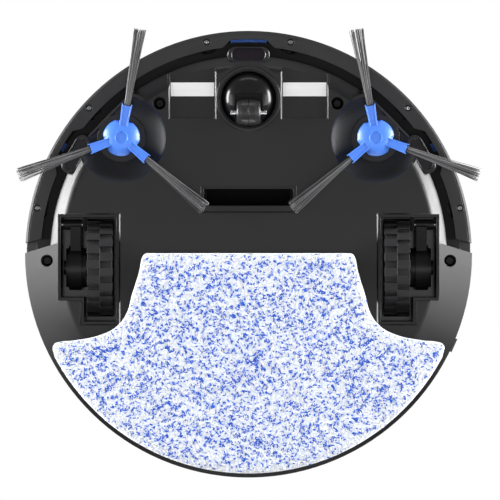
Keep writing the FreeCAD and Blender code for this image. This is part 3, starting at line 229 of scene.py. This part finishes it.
# ---- Screws, pins and contact plates ---------------------------------------------------------
# Small pan-head screws hold the flange and the base. The pivots and the caster's axle are plated
# steel, and the two charging contacts are nickel-plated spring plates, brushed lengthways.
def metal(name, colour, roughness, grain, stretch, edge=0.2 * MM, metallic=1.0):
    """Metal with a drawn or brushed grain along one axis and softly broken edges."""
    material, shader = start_finish(name, colour, roughness, Metallic=metallic)
    place = add(material, "ShaderNodeTexCoord").outputs["Object"]
    drawn = add(material, "ShaderNodeMapping", {"Vector": place, "Scale": stretch})
    lines = add(material, "ShaderNodeTexNoise", {
        "Vector": drawn.outputs["Vector"], "Scale": 1 / grain, "Detail": 4.0})
    tone = add(material, "ShaderNodeMixRGB", {
        "Fac": lines.outputs["Fac"], "Color1": shade(colour, 0.82), "Color2": shade(colour, 1.12)})
    gloss = add(material, "ShaderNodeMapRange", {
        "Value": lines.outputs["Fac"], "To Min": roughness * 0.75, "To Max": roughness * 1.3})
    soft = add(material, "ShaderNodeBevel", {"Radius": edge}, samples=4).outputs["Normal"]
    relief = add(material, "ShaderNodeBump", {
        "Height": lines.outputs["Fac"], "Distance": 0.006 * MM, "Normal": soft})
    link(material, tone.outputs["Color"], shader, "Base Color")
    link(material, gloss.outputs["Result"], shader, "Roughness")
    link(material, relief.outputs["Normal"], shader, "Normal")
    return material


screw_steel = metal("zinc screws", (0.42, 0.42, 0.43), 0.3, 0.3 * MM, (1, 1, 1))
screw_black = metal("blackened screws", (0.05, 0.05, 0.052), 0.35, 0.3 * MM, (1, 1, 1))
bright_steel = metal("plated steel", (0.72, 0.72, 0.73), 0.16, 0.4 * MM, (1, 0.1, 1))
contact_metal = metal("nickel contact plate", (0.95, 0.95, 0.96), 0.4, 0.3 * MM, (0.02, 1, 1),
                      edge=0.3 * MM, metallic=0.55)
motor_metal = metal("motor can", (0.55, 0.55, 0.56), 0.3, 0.5 * MM, (1, 1, 0.1))
dress(screw_steel, "bumper_screws")
dress(screw_black, "chassis_screws")
dress(bright_steel, "pivot_pins", "caster_axle", "suspension_spring_left", "suspension_spring_right")
dress(contact_metal, "charge_contacts")
dress(motor_metal, "fan_motor", "brush_motors")


# ---- Caster ------------------------------------------------------------------------------
# A polished black acetal dome swivels in its socket and holds a barrel-shaped wheel with a
# parting seam round its middle. Both are bare plastic, glossy from running.
caster_socket_plastic = moulded("satin caster socket", (0.012, 0.012, 0.013), 0.3, depth=0.01 * MM)
caster_gloss = moulded("polished black acetal", (0.009, 0.009, 0.0095), 0.2, grain=2.5 * MM,
                       depth=0.002 * MM, edge=0.5 * MM, edge_highlight_gain=3.0, Specular_IOR_Level=0.3)
roller_plastic = moulded("barrel wheel", (0.02, 0.02, 0.0215), 0.3, grain=0.8 * MM,
                         depth=0.004 * MM, edge_highlight_gain=1.5)
dress(caster_socket_plastic, "caster_socket")
dress(caster_gloss, "caster_fork")
dress(roller_plastic, "caster_wheel")


# ---- Drive wheels --------------------------------------------------------------------------
# Lugged black rubber tyres are moulded onto spoked rims. The motor cases and the trailing arms
# are black nylon with glass fibre, which leaves a slightly streaky satin.
def rubber(name, colour, roughness, edge):
    """Moulded rubber: edges painted pale as a highlight, dust held in a fine grain."""
    material = moulded(name, colour, roughness, grain=0.5 * MM, depth=0.05 * MM, edge=edge, edge_highlight_gain=4.0)
    shader = material.node_tree.nodes["Principled BSDF"]
    shader.inputs["Specular IOR Level"].default_value = 0.4
    return material


tyre_rubber = rubber("lugged tyre rubber", (0.014, 0.014, 0.015), 0.5, 0.5 * MM)
soft_rubber = rubber("soft black rubber", (0.008, 0.008, 0.008), 0.6, 0.4 * MM)
wheel_plastic = moulded("black rim moulding", (0.012, 0.012, 0.0125), 0.36)
arm_nylon = moulded("glass-filled nylon", (0.012, 0.012, 0.0125), 0.28, grain=0.5 * MM, edge_highlight_gain=4.0)
for side in SIDES:
    dress(tyre_rubber, "wheel_tyre_" + side)
    dress(wheel_plastic, "wheel_hub_" + side)
    dress(arm_nylon, "wheel_motor_" + side, "wheel_arm_" + side)
dress(soft_rubber, "inlet_lip", "charge_jack")

# ---- Side brush hubs --------------------------------------------------------------------------
# Each brush clips onto a square shaft. Its hub is moulded in bright blue polypropylene: a lobed
# dome with a round cap in the middle, and three channel arms that hold the bristle tufts.
HUB_ARMS = (-100.0, 20.0, 140.0)
DOME_R = 12.8 * MM
HUB_STEPS = 120


def new_piece(name, mesh, material, smooth=True):
    piece = bpy.data.objects.new(name, mesh)
    bpy.context.scene.collection.objects.link(piece)
    if material not in list(mesh.materials):
        mesh.materials.append(material)
    mesh.polygons.foreach_set("use_smooth", [smooth] * len(mesh.polygons))
    return piece


def round_edges(piece, width, segments=2, angle=35.0):
    """Bevel the sharp edges and shade the rest smooth."""
    bevel = piece.modifiers.new("rounded edges", "BEVEL")
    bevel.width = width
    bevel.segments = segments
    bevel.limit_method = "ANGLE"
    bevel.angle_limit = math.radians(angle)
    bevel.harden_normals = True
    return piece


def arm_distance(angle):
    """Degrees to the nearest arm."""
    return min(abs((angle - arm + 180) % 360 - 180) for arm in HUB_ARMS)


def dome_profile():
    """Radius and height from the middle of the cap, out over the dome and up its side."""
    profile = [(0.0, 5.7), (1.6, 5.7), (3.3, 5.72), (3.9, 5.75),
               (4.15, 5.6), (4.3, 5.05), (4.6, 4.85), (5.0, 4.95)]
    steps = 9
    for step in range(1, steps + 1):
        share = step / steps
        profile.append((5.0 + 7.2 * share, 4.95 + 3.2 * share ** 1.9))
    return [(r * MM, z * MM) for r, z in profile + [(12.6, 8.5), (12.8, 9.4), (12.8, 12.6), (4.0, 12.6)]]


def add_dome(bm):
    """Turned dome whose rim steps in beside each arm."""
    rings = []
    for radius, height in dome_profile():
        ring = []
        for step in range(HUB_STEPS):
            degrees = 360.0 * step / HUB_STEPS
            near = max(0.0, 1 - arm_distance(degrees) / 27.0)
            outer = min(1.0, max(0.0, (radius - 8 * MM) / (DOME_R - 8 * MM)))
            r = radius * (1 - 0.07 * min(1.0, near * 4.0) * outer)
            turn = math.radians(degrees)
            ring.append(bm.verts.new((r * math.cos(turn), r * math.sin(turn), height)))
        rings.append(ring)
    for low, high in zip(rings[1:], rings[2:]):
        for step in range(HUB_STEPS):
            after = (step + 1) % HUB_STEPS
            bm.faces.new((low[step], high[step], high[after], low[after]))
    bmesh.ops.delete(bm, geom=rings[0], context="VERTS")
    bm.faces.new(rings[1])
    bm.faces.new(list(reversed(rings[-1])))


def add_bar(bm, turn, near, far):
    """Tapered bar along an arm; each end is (radius, y low, y high, z low, z high) in mm."""
    corners = []
    for radius, y0, y1, z0, z1 in (near, far):
        for y, z in ((y0, z0), (y1, z0), (y1, z1), (y0, z1)):
            corners.append(bm.verts.new(turn @ Vector((radius, y, z)) * MM))
    for face in ((0, 1, 2, 3), (7, 6, 5, 4), (0, 4, 5, 1), (1, 5, 6, 2), (2, 6, 7, 3), (3, 7, 4, 0)):
        bm.faces.new([corners[index] for index in face])


def hub_mesh(name):
    bm = bmesh.new()
    add_dome(bm)
    for arm in HUB_ARMS:
        turn = Matrix.Rotation(math.radians(arm), 3, "Z")
        add_bar(bm, turn, (8.2, -2.6, 2.6, 6.0, 7.2), (22.3, -3.2, 3.2, 5.2, 6.4))
        for side in (-1, 1):
            near = sorted((side * 2.0, side * 2.75))
            far = sorted((side * 2.85, side * 3.6))
            add_bar(bm, turn, (8.0, near[0], near[1], 5.5, 11.0), (23.5, far[0], far[1], 4.6, 9.0))
        add_bar(bm, turn, (11.0, -2.6, 2.6, 10.0, 10.9), (20.0, -3.2, 3.2, 8.4, 9.3))
    bmesh.ops.recalc_face_normals(bm, faces=bm.faces)
    mesh = bpy.data.meshes.new(name)
    bm.to_mesh(mesh)
    bm.free()
    return mesh


blue_plastic = moulded("bright blue moulding", (0.075, 0.22, 0.76), 0.34, grain=0.6 * MM, depth=0.012 * MM,
                       edge=0.35 * MM, edge_highlight_gain=1.5, Subsurface_Weight=0.12, Subsurface_Scale=1.0 * MM)


def brush_place(side):
    """Middle of one brush, from its gear's box, and the mirror for the right side."""
    low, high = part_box("brush_gear_" + side)
    flip = 1 if side == "left" else -1
    middle = ((low.x + high.x) / 2, (low.y + high.y) / 2, 0)
    return Matrix.Translation(middle) @ Matrix.Scale(flip, 4, (1, 0, 0))


for side in SIDES:
    mesh = hub_mesh("side_brush_hub_" + side)
    mesh.transform(brush_place(side))
    if side == "right":
        mesh.flip_normals()
    hub = round_edges(new_piece("side_brush_hub_" + side, mesh, blue_plastic), 0.22 * MM)
    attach(hub, side + "_brush")
    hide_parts("brush_hub_" + side)

# ---- Bristle tufts --------------------------------------------------------------------------
# Each tuft is a bundle of black nylon filaments, pinched in its channel. The filaments slope down
# until they skim the floor, fan out towards their tips and are cut to uneven lengths.
FILAMENTS = 64
FILAMENT_R = 0.25 * MM
FILAMENT_STEPS = 9
FILAMENT_SIDES = 5
TUFT_ROOT = (17.2, 1.75, 7.4, 0.95)      # radius, half width, mid height, half height, in mm
TUFT_TIP = (76.3, 4.7, 1.7, 0.6)

nylon, nylon_shader = start_finish("nylon bristle", (0.06, 0.06, 0.063), 0.35)
fibre_tone = add(nylon, "ShaderNodeMixRGB", {
    "Fac": add(nylon, "ShaderNodeNewGeometry").outputs["Random Per Island"],
    "Color1": (0.006, 0.006, 0.007, 1), "Color2": (0.2, 0.2, 0.205, 1)})
link(nylon, fibre_tone.outputs["Color"], nylon_shader, "Base Color")


def tube_mesh(name, paths, radii, sides):
    """Capped tubes along many paths of equal length, each with its own radius at every point."""
    count, points, _ = paths.shape
    along = np.gradient(paths, axis=1)
    along /= np.linalg.norm(along, axis=2, keepdims=True)
    across = np.cross(along, np.array((0.0, 0.0, 1.0)))
    across /= np.maximum(np.linalg.norm(across, axis=2, keepdims=True), 1e-9)
    above = np.cross(across, along)
    turns = 2 * np.pi * np.arange(sides) / sides
    turns = turns[None, None, :, None]
    ring = across[:, :, None] * np.cos(turns) + above[:, :, None] * np.sin(turns)
    corners = (paths[:, :, None] + ring * radii[:, :, None, None]).reshape(-1, 3)
    start = np.arange(count)[:, None, None] * points * sides
    step = start + np.arange(points - 1)[None, :, None] * sides
    low = step + np.arange(sides)[None, None, :]
    after = step + (np.arange(sides)[None, None, :] + 1) % sides
    walls = np.stack((low, after, after + sides, low + sides), axis=-1).reshape(-1, 4).tolist()
    first = (np.arange(count)[:, None] * points * sides + np.arange(sides)[::-1][None]).tolist()
    last = ((np.arange(count)[:, None] + 1) * points * sides - sides + np.arange(sides)[None]).tolist()
    mesh = bpy.data.meshes.new(name)
    mesh.from_pydata(corners.tolist(), [], walls + first + last)
    return mesh


def tuft_paths(random, arm):
    """Filaments of one tuft, as points in the brush's own frame."""
    root_u = random.uniform(-1, 1, FILAMENTS)
    root_v = random.uniform(-1, 1, FILAMENTS)
    tip_u = root_u * 0.92 + random.normal(0, 0.14, FILAMENTS)
    tip_v = root_v * 0.7 + random.normal(0, 0.3, FILAMENTS)
    reach = TUFT_TIP[0] - np.abs(random.normal(0, 1.1, FILAMENTS))
    share = np.linspace(0, 1, FILAMENT_STEPS)[None, :]
    spread = share ** 1.3
    bow = np.sin(np.pi * share) * random.normal(0, 0.16, (FILAMENTS, 1))
    r = TUFT_ROOT[0] + (reach[:, None] - TUFT_ROOT[0]) * share
    tip_y = np.clip(tip_u, -1.15, 1.15)[:, None] * TUFT_TIP[1]
    tip_z = np.clip(tip_v, -1, 1)[:, None] * TUFT_TIP[3]
    y = root_u[:, None] * TUFT_ROOT[1] * (1 - spread) + tip_y * spread + bow
    mid = TUFT_ROOT[2] + (TUFT_TIP[2] - TUFT_ROOT[2]) * share
    z = mid + root_v[:, None] * TUFT_ROOT[3] * (1 - spread) + tip_z * spread
    turn = math.radians(arm)
    x_out = r * math.cos(turn) - y * math.sin(turn)
    y_out = r * math.sin(turn) + y * math.cos(turn)
    return np.stack((x_out, y_out, z), axis=2) * MM


for side in SIDES:
    random = np.random.default_rng(11 if side == "left" else 12)
    paths = np.concatenate([tuft_paths(random, arm) for arm in HUB_ARMS])
    taper = np.linspace(1.0, 0.62, FILAMENT_STEPS)[None, :] * FILAMENT_R
    radii = taper * random.uniform(0.8, 1.15, (len(paths), 1))
    mesh = tube_mesh("bristles_" + side, paths, radii, FILAMENT_SIDES)
    mesh.transform(brush_place(side))
    if side == "right":
        mesh.flip_normals()
    bristles = new_piece("bristles_" + side, mesh, nylon)
    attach(bristles, side + "_brush")
    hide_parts("brush_tufts_" + side)


# ---- Battery, board and filter ----------------------------------------------------------------
# The cells are in a blue heat-shrink sleeve. The main board is green solder mask over copper, and
# the dust filter is pleated paper in a plain frame.
def mottled(name, dark, pale, roughness, scale, relief_depth, **sockets):
    """Two close tones broken up by noise, with a matching relief."""
    material, shader = start_finish(name, pale, roughness, **sockets)
    place = add(material, "ShaderNodeTexCoord").outputs["Object"]
    spots = add(material, "ShaderNodeTexNoise", {"Vector": place, "Scale": scale, "Detail": 4.0})
    tone = add(material, "ShaderNodeMixRGB", {
        "Fac": spots.outputs["Fac"], "Color1": (*dark, 1.0), "Color2": (*pale, 1.0)})
    relief = add(material, "ShaderNodeBump", {"Height": spots.outputs["Fac"], "Distance": relief_depth})
    link(material, tone.outputs["Color"], shader, "Base Color")
    link(material, relief.outputs["Normal"], shader, "Normal")
    return material


sleeve = mottled("heat-shrink sleeve", (0.02, 0.1, 0.3), (0.04, 0.17, 0.42), 0.3, 90.0, 0.2 * MM)
solder_mask = mottled("solder mask", (0.01, 0.1, 0.04), (0.02, 0.17, 0.08), 0.35, 600.0, 0.02 * MM)
paper = mottled("filter paper", (0.7, 0.69, 0.65), (0.85, 0.84, 0.8), 0.9, 1500.0, 0.1 * MM)
dress(sleeve, "battery_pack")
dress(solder_mask, "main_board")
dress(paper, "dust_filter")

# ---- Dust bin -------------------------------------------------------------------------------
# The bin and its lid are smoked polycarbonate. They slide out at the back with the filter.
bin_smoke = moulded("smoked polycarbonate", (0.02, 0.02, 0.022), 0.16, grain=2.0 * MM, depth=0.005 * MM,
                    Coat_Weight=0.6, Coat_Roughness=0.06)
dress(bin_smoke, "dust_bin", "bin_lid")

# ---- Mop plate --------------------------------------------------------------------------------
# A dark grey tray that slides in from behind on two rails and shows as a thin rim round the pad.
dress(moulded("grey mop plate", (0.03, 0.03, 0.032), 0.42), "mop_plate")

# ---- Mop pad ----------------------------------------------------------------------------------
# A washable pad of white microfibre pile flecked with blue yarn, over a thin wadding. Its edge is
# hemmed with white tape. The sheet is stuck flat under the plate.
PAD_LOW, PAD_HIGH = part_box("mop_pad")
PAD_R = 151.2 * MM
PILE = 0.9 * MM                  # height of the pile under the wadding
FRONT_EDGE = 0.1 * MM
HIP = [(75.0, 11.6), (80.0, 28.2), (83.9, 41.5), (90.5, 50.3), (101.6, 56.4), (119.3, 60.3)]
FRONT_CORNER = [(69.2, 0.1), (71.6, 0.5), (72.9, 2.2), (73.8, 5.6)]
WING_CORNER = [(131.4, 61.7), (134.0, 62.7), (134.9, 65.0), (134.1, 68.4)]


def smooth_outline(points, step):
    """Evenly spaced points on a smooth curve through the given ones."""
    curve = bpy.data.curves.new("outline", "CURVE")
    curve.dimensions = "3D"
    spline = curve.splines.new("BEZIER")
    spline.bezier_points.add(len(points) - 1)
    for knot, (x, y) in zip(spline.bezier_points, points):
        knot.co = (x, y, 0)
        knot.handle_left_type = knot.handle_right_type = "AUTO"
    curve.resolution_u = 12
    holder = bpy.data.objects.new("outline", curve)
    line = np.array([v.co[:2] for v in bpy.data.meshes.new_from_object(holder).vertices])
    bpy.data.objects.remove(holder)
    lengths = np.concatenate(([0], np.cumsum(np.linalg.norm(np.diff(line, axis=0), axis=1))))
    marks = np.linspace(0, lengths[-1], max(2, round(lengths[-1] / step)))
    return np.stack([np.interp(marks, lengths, line[:, axis]) for axis in (0, 1)], axis=1)


def pad_outline(step):
    """Closed outline of the pad, from the middle of the front edge round by the left wing."""
    knots = [(x * MM, y * MM) for x, y in FRONT_CORNER + HIP + WING_CORNER]
    side_run = smooth_outline(knots, step)
    front_x = np.arange(0, knots[0][0], step)
    front = np.stack((front_x, np.full(len(front_x), FRONT_EDGE)), axis=1)
    start = math.atan2(knots[-1][1] + 2.6 * MM, knots[-1][0] - 0.6 * MM)
    turns = np.linspace(start, math.pi / 2, round((math.pi / 2 - start) * PAD_R / step))
    arc = np.stack((np.cos(turns), np.sin(turns)), axis=1) * PAD_R
    half = np.concatenate((front, side_run, arc))
    mirrored = half[::-1][1:-1] * (-1, 1)
    return np.concatenate((half, mirrored))


def evaluated_copy(piece, name):
    """Mesh of a piece with its modifiers applied."""
    graph = bpy.context.evaluated_depsgraph_get()
    mesh = bpy.data.meshes.new_from_object(piece.evaluated_get(graph))
    mesh.name = name
    return mesh


def pad_blank():
    """Flat pad of the right outline, evenly meshed for the simulation."""
    outline = pad_outline(1.5 * MM)
    bm = bmesh.new()
    inset = 0.5 * MM
    outward = np.roll(outline, -1, axis=0) - np.roll(outline, 1, axis=0)
    outward = np.stack((outward[:, 1], -outward[:, 0]), axis=1)
    outward /= np.linalg.norm(outward, axis=1, keepdims=True)
    edge = outline - outward * inset
    ring = [bm.verts.new((x, y, PAD_LOW.z + PILE)) for x, y in edge]
    face = bm.faces.new(ring)
    lifted = bmesh.ops.extrude_face_region(bm, geom=[face])["geom"]
    rise = PAD_HIGH.z - PAD_LOW.z - PILE
    upper = [part for part in lifted if isinstance(part, bmesh.types.BMVert)]
    bmesh.ops.translate(bm, verts=upper, vec=(0, 0, rise))
    bmesh.ops.recalc_face_normals(bm, faces=bm.faces)
    bmesh.ops.triangulate(bm, faces=bm.faces)
    mesh = bpy.data.meshes.new("pad blank")
    bm.to_mesh(mesh)
    bm.free()
    blank = bpy.data.objects.new("pad blank", mesh)
    bpy.context.scene.collection.objects.link(blank)
    voxels = blank.modifiers.new("even mesh", "REMESH")
    voxels.mode = "VOXEL"
    voxels.voxel_size = 1.7 * MM
    voxels.adaptivity = 0.0
    even = evaluated_copy(blank, "pad_wadding")
    bpy.data.objects.remove(blank)
    return even


def puff_up(mesh):
    """Let the wadding swell as cloth, held where it is stuck to the plate, and cap how far it moves."""
    cushion = bpy.data.objects.new("cushion", mesh)
    bpy.context.scene.collection.objects.link(cushion)
    rest = np.array([v.co[:] for v in mesh.vertices])
    stuck = cushion.vertex_groups.new(name="stuck")
    stuck.add([i for i, co in enumerate(rest) if co[2] > PAD_HIGH.z - 0.9 * MM], 1.0, "REPLACE")
    cloth = cushion.modifiers.new("cloth", "CLOTH")
    cloth.settings.quality = 4
    cloth.settings.mass = 0.2
    cloth.settings.tension_stiffness = 12
    cloth.settings.compression_stiffness = 12
    cloth.settings.bending_stiffness = 0.4
    cloth.settings.vertex_group_mass = "stuck"
    cloth.settings.use_pressure = True
    cloth.settings.uniform_pressure_force = 4.0
    cloth.settings.effector_weights.gravity = 0.0
    scene = bpy.context.scene
    for step in range(1, 17):
        scene.frame_set(step)
    swollen = evaluated_copy(cushion, "pad_wadding")
    scene.frame_set(1)
    moved = np.array([v.co[:] for v in swollen.vertices]) - rest
    most = 0.45 * MM
    far = np.linalg.norm(moved, axis=1, keepdims=True)
    placed = rest + moved * np.minimum(1.0, most / np.maximum(far, 1e-9))
    placed[:, 2] = np.clip(placed[:, 2], PAD_LOW.z + 0.6 * MM, PAD_HIGH.z)
    mesh.vertices.foreach_set("co", placed.ravel())
    bpy.data.objects.remove(cushion)
    bpy.data.meshes.remove(swollen)
    return mesh


white_fibre = mottled("white microfibre", (0.84, 0.87, 0.93), (0.95, 0.96, 0.99), 0.9, 1200.0,
                      0.15 * MM, Sheen_Weight=0.3)
blue_fibre = mottled("blue microfibre", (0.003, 0.07, 0.5), (0.02, 0.16, 0.74), 0.85, 1500.0, 0.1 * MM)
backing = mottled("pad backing", (0.72, 0.8, 0.95), (0.9, 0.93, 0.99), 0.95, 900.0, 0.3 * MM,
                  Sheen_Weight=0.2)

wadding_mesh = pad_blank()
wadding_mesh = puff_up(wadding_mesh)
wadding_mesh.materials.clear()
wadding = new_piece("mop_wadding", wadding_mesh, backing)
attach(wadding, "mop_unit")
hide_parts("mop_pad")

# ---- Pile of the mop pad -------------------------------------------------------------------
# Short looped yarns are knitted into the backing and lie over in all directions. About a quarter
# are dyed blue, in loose clumps, with mostly white ones along the edges.
YARNS = 26000
YARN_STEPS = 4


def scatter(mesh, count, random):
    """Points spread evenly over the lower and side faces of a mesh, with their normals."""
    mesh.calc_loop_triangles()
    corners = np.array([v.co[:] for v in mesh.vertices])
    faces = np.array([t.vertices[:] for t in mesh.loop_triangles])
    a, b, c = corners[faces[:, 0]], corners[faces[:, 1]], corners[faces[:, 2]]
    normal = np.cross(b - a, c - a)
    size = np.linalg.norm(normal, axis=1)
    normal /= np.maximum(size, 1e-15)[:, None]
    weight = np.where(normal[:, 2] < 0.35, size, 0)
    chosen = random.choice(len(faces), count, p=weight / weight.sum())
    u, v = random.random((2, count))
    swap = u + v > 1
    u[swap], v[swap] = 1 - u[swap], 1 - v[swap]
    point = a[chosen] + (b - a)[chosen] * u[:, None] + (c - a)[chosen] * v[:, None]
    return point, normal[chosen]


def clump(point):
    """Slow wave field from 0 to 1 that gathers the blue yarns."""
    x, y = point[:, 0] / MM, point[:, 1] / MM
    waves = np.sin(x * 0.9 + 2 * np.sin(y * 0.31)) * np.sin(y * 0.83 + 2 * np.sin(x * 0.37))
    return 0.5 + 0.5 * waves


def edge_gap(point, outline):
    """Distance from each point to the pad's outline."""
    nearest = np.full(len(point), 1.0)
    for start in range(0, len(outline), 2):
        away = point[:, :2] - outline[start]
        nearest = np.minimum(nearest, np.hypot(away[:, 0], away[:, 1]))
    return nearest


random = np.random.default_rng(5)
root, out = scatter(wadding_mesh, YARNS, random)
heading = random.uniform(0, 2 * np.pi, YARNS)
lay = np.stack((np.cos(heading), np.sin(heading), np.zeros(YARNS)), axis=1)
lay -= out * np.sum(lay * out, axis=1, keepdims=True)
lay /= np.maximum(np.linalg.norm(lay, axis=1, keepdims=True), 1e-9)
length = random.uniform(1.5, 3.2, YARNS)[:, None] * MM
lift = random.uniform(0.3, 0.8, YARNS)[:, None] * MM
side_bow = np.cross(out, lay) * random.normal(0, 0.35, YARNS)[:, None] * MM
rise = out * lift + side_bow
yarn_paths = np.stack([
    root + lay * length * (share - 0.5) + rise * math.sin(math.pi * min(1, share * 0.9 + 0.05))
    for share in np.linspace(0, 1, YARN_STEPS)], axis=1)
yarn_paths[:, :, 2] = np.maximum(yarn_paths[:, :, 2], PAD_LOW.z + 0.3 * MM)
edge_white = np.clip(edge_gap(root, pad_outline(1.5 * MM)) / (7 * MM), 0.15, 1.0)
is_blue = random.random(YARNS) < 0.52 * clump(root) ** 1.2 * edge_white
thick_blue = random.uniform(0.42, 0.62, YARNS)
thick_white = random.uniform(0.3, 0.45, YARNS)
thick = np.where(is_blue, thick_blue, thick_white)[:, None] * MM
yarn_radii = thick * np.array((0.35, 1.0, 1.0, 0.35))[None, :]
pile_mesh = tube_mesh("mop_pile", yarn_paths, yarn_radii, 3)
pile_mesh.materials.append(white_fibre)
pile_mesh.materials.append(blue_fibre)
walls_per_yarn = (YARN_STEPS - 1) * 3
yarn_colour = np.concatenate((np.repeat(is_blue, walls_per_yarn), is_blue, is_blue)).astype(np.int32)
pile_mesh.polygons.foreach_set("material_index", yarn_colour)
pile = new_piece("mop_pile", pile_mesh, white_fibre)
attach(pile, "mop_unit")
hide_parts("mop_pad")

# ---- Hem of the mop pad --------------------------------------------------------------------
# White tape is folded over the raw edge, all the way round.
outline = pad_outline(1.5 * MM)
closed = np.concatenate((outline, outline[:3]))
hem_line = np.concatenate((closed, np.full((len(closed), 1), PAD_HIGH.z - 1.1 * MM)), axis=1)
hem_paths = (hem_line * (0.998, 0.998, 1.0))[None]
hem_mesh = tube_mesh("mop_hem", hem_paths, np.full((1, len(closed)), 0.7 * MM), 10)
hem = new_piece("mop_hem", hem_mesh, mottled(
    "hem tape", (0.66, 0.68, 0.72), (0.9, 0.91, 0.93), 0.9, 2500.0, 0.15 * MM, Sheen_Weight=0.2))
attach(hem, "mop_unit")

# ---- Floor, light and camera ------------------------------------------------------------------
# A pale floor that shows only from above, two tall side boxes with dimmer ones under them, a soft
# front and rear light, soft top lights and a white surround. The camera looks straight up.
floor_mesh = bpy.data.meshes.new("floor")
FLOOR_HALF = 4.0
corners = [(x * FLOOR_HALF, y * FLOOR_HALF, -0.2 * MM) for x, y in ((-1, -1), (1, -1), (1, 1), (-1, 1))]
floor_mesh.from_pydata(corners, [], [(0, 1, 2, 3)])
pale_floor, floor_shader = start_finish("pale floor", (0.8, 0.8, 0.8), 0.7)
floor_speck = add(pale_floor, "ShaderNodeTexNoise", {"Scale": 60.0, "Detail": 3.0})
floor_tone = add(pale_floor, "ShaderNodeMixRGB", {
    "Fac": floor_speck.outputs["Fac"], "Color1": (0.78, 0.78, 0.78, 1), "Color2": (0.83, 0.83, 0.83, 1)})
link(pale_floor, floor_tone.outputs["Color"], floor_shader, "Base Color")
see_through = add(pale_floor, "ShaderNodeBsdfTransparent")
from_below = add(pale_floor, "ShaderNodeMath", {
    0: add(pale_floor, "ShaderNodeNewGeometry").outputs["Backfacing"],
    1: add(pale_floor, "ShaderNodeLightPath").outputs["Transparent Depth"]},
    operation="ADD", use_clamp=True)
one_sided = add(pale_floor, "ShaderNodeMixShader", {
    "Fac": from_below.outputs["Value"],
    1: floor_shader.outputs["BSDF"], 2: see_through.outputs["BSDF"]})
link(pale_floor, one_sided.outputs["Shader"], pale_floor.node_tree.nodes["Material Output"], "Surface")
floor = new_piece("floor", floor_mesh, pale_floor, smooth=False)

world = bpy.data.worlds.new("white surround")
bpy.context.scene.world = world
world.use_nodes = True
surround = world.node_tree.nodes["Background"]
seen = world.node_tree.nodes.new("ShaderNodeLightPath")
level = world.node_tree.nodes.new("ShaderNodeMapRange")
level.inputs["To Min"].default_value = 0.12
level.inputs["To Max"].default_value = 1.0
world.node_tree.links.new(seen.outputs["Is Camera Ray"], level.inputs["Value"])
world.node_tree.links.new(level.outputs["Result"], surround.inputs["Strength"])
surround.inputs["Color"].default_value = (1.0, 1.0, 1.0, 1.0)


def soft_box(name, place, width, height, radiance):
    """Rectangular soft light aimed at the robot, as bright as asked whatever its size."""
    lamp = bpy.data.lights.new(name, "AREA")
    lamp.shape = "RECTANGLE"
    lamp.size = width
    lamp.size_y = height
    lamp.energy = radiance * math.pi * width * height
    box = bpy.data.objects.new(name, lamp)
    box.location = place
    box.rotation_euler = (-Vector(place)).to_track_quat("-Z", "Y").to_euler()
    box.visible_camera = False
    bpy.context.scene.collection.objects.link(box)
    return box


for side, sign in (("left", 1), ("right", -1)):
    soft_box(side + " horizon box", (sign * 1.6, -0.3, -0.28), 0.9, 0.5, 38.0)
    soft_box(side + " middle box", (sign * 1.4, 0.0, -0.85), 0.9, 0.55, 4.3)
    soft_box(side + " low box", (sign * 0.95, 0.1, -1.35), 0.7, 0.5, 1.2)
    soft_box(side + " top box", (sign * 1.2, -0.9, 1.4), 1.0, 1.0, 9.0)
soft_box("rear horizon box", (0.0, 1.7, -0.3), 1.3, 0.35, 6.0)
soft_box("front low box", (0.0, -1.6, -0.4), 1.3, 0.25, 3.0)
soft_box("rear top box", (0.0, 1.5, 1.2), 1.4, 0.8, 8.0)
soft_box("base card", (0.0, 0.4, -2.5), 1.6, 1.1, 0.75)
fill = soft_box("pad fill", (0.0, 0.7, -2.4), 1.6, 1.6, 1.5)
fill.visible_glossy = False

VIEW_DISTANCE = 6.0
lens = bpy.data.cameras.new("camera")
lens.lens = 624.5
lens.sensor_width = 36.0
lens.clip_end = 20.0
camera = bpy.data.objects.new("camera", lens)
camera.location = (1.0 * MM, -2.8 * MM, 10 * MM - VIEW_DISTANCE)
camera.rotation_euler = (math.pi, 0.0, 0.0)
bpy.context.scene.collection.objects.link(camera)
bpy.context.scene.camera = camera
bpy.context.scene.view_settings.view_transform = "Standard"
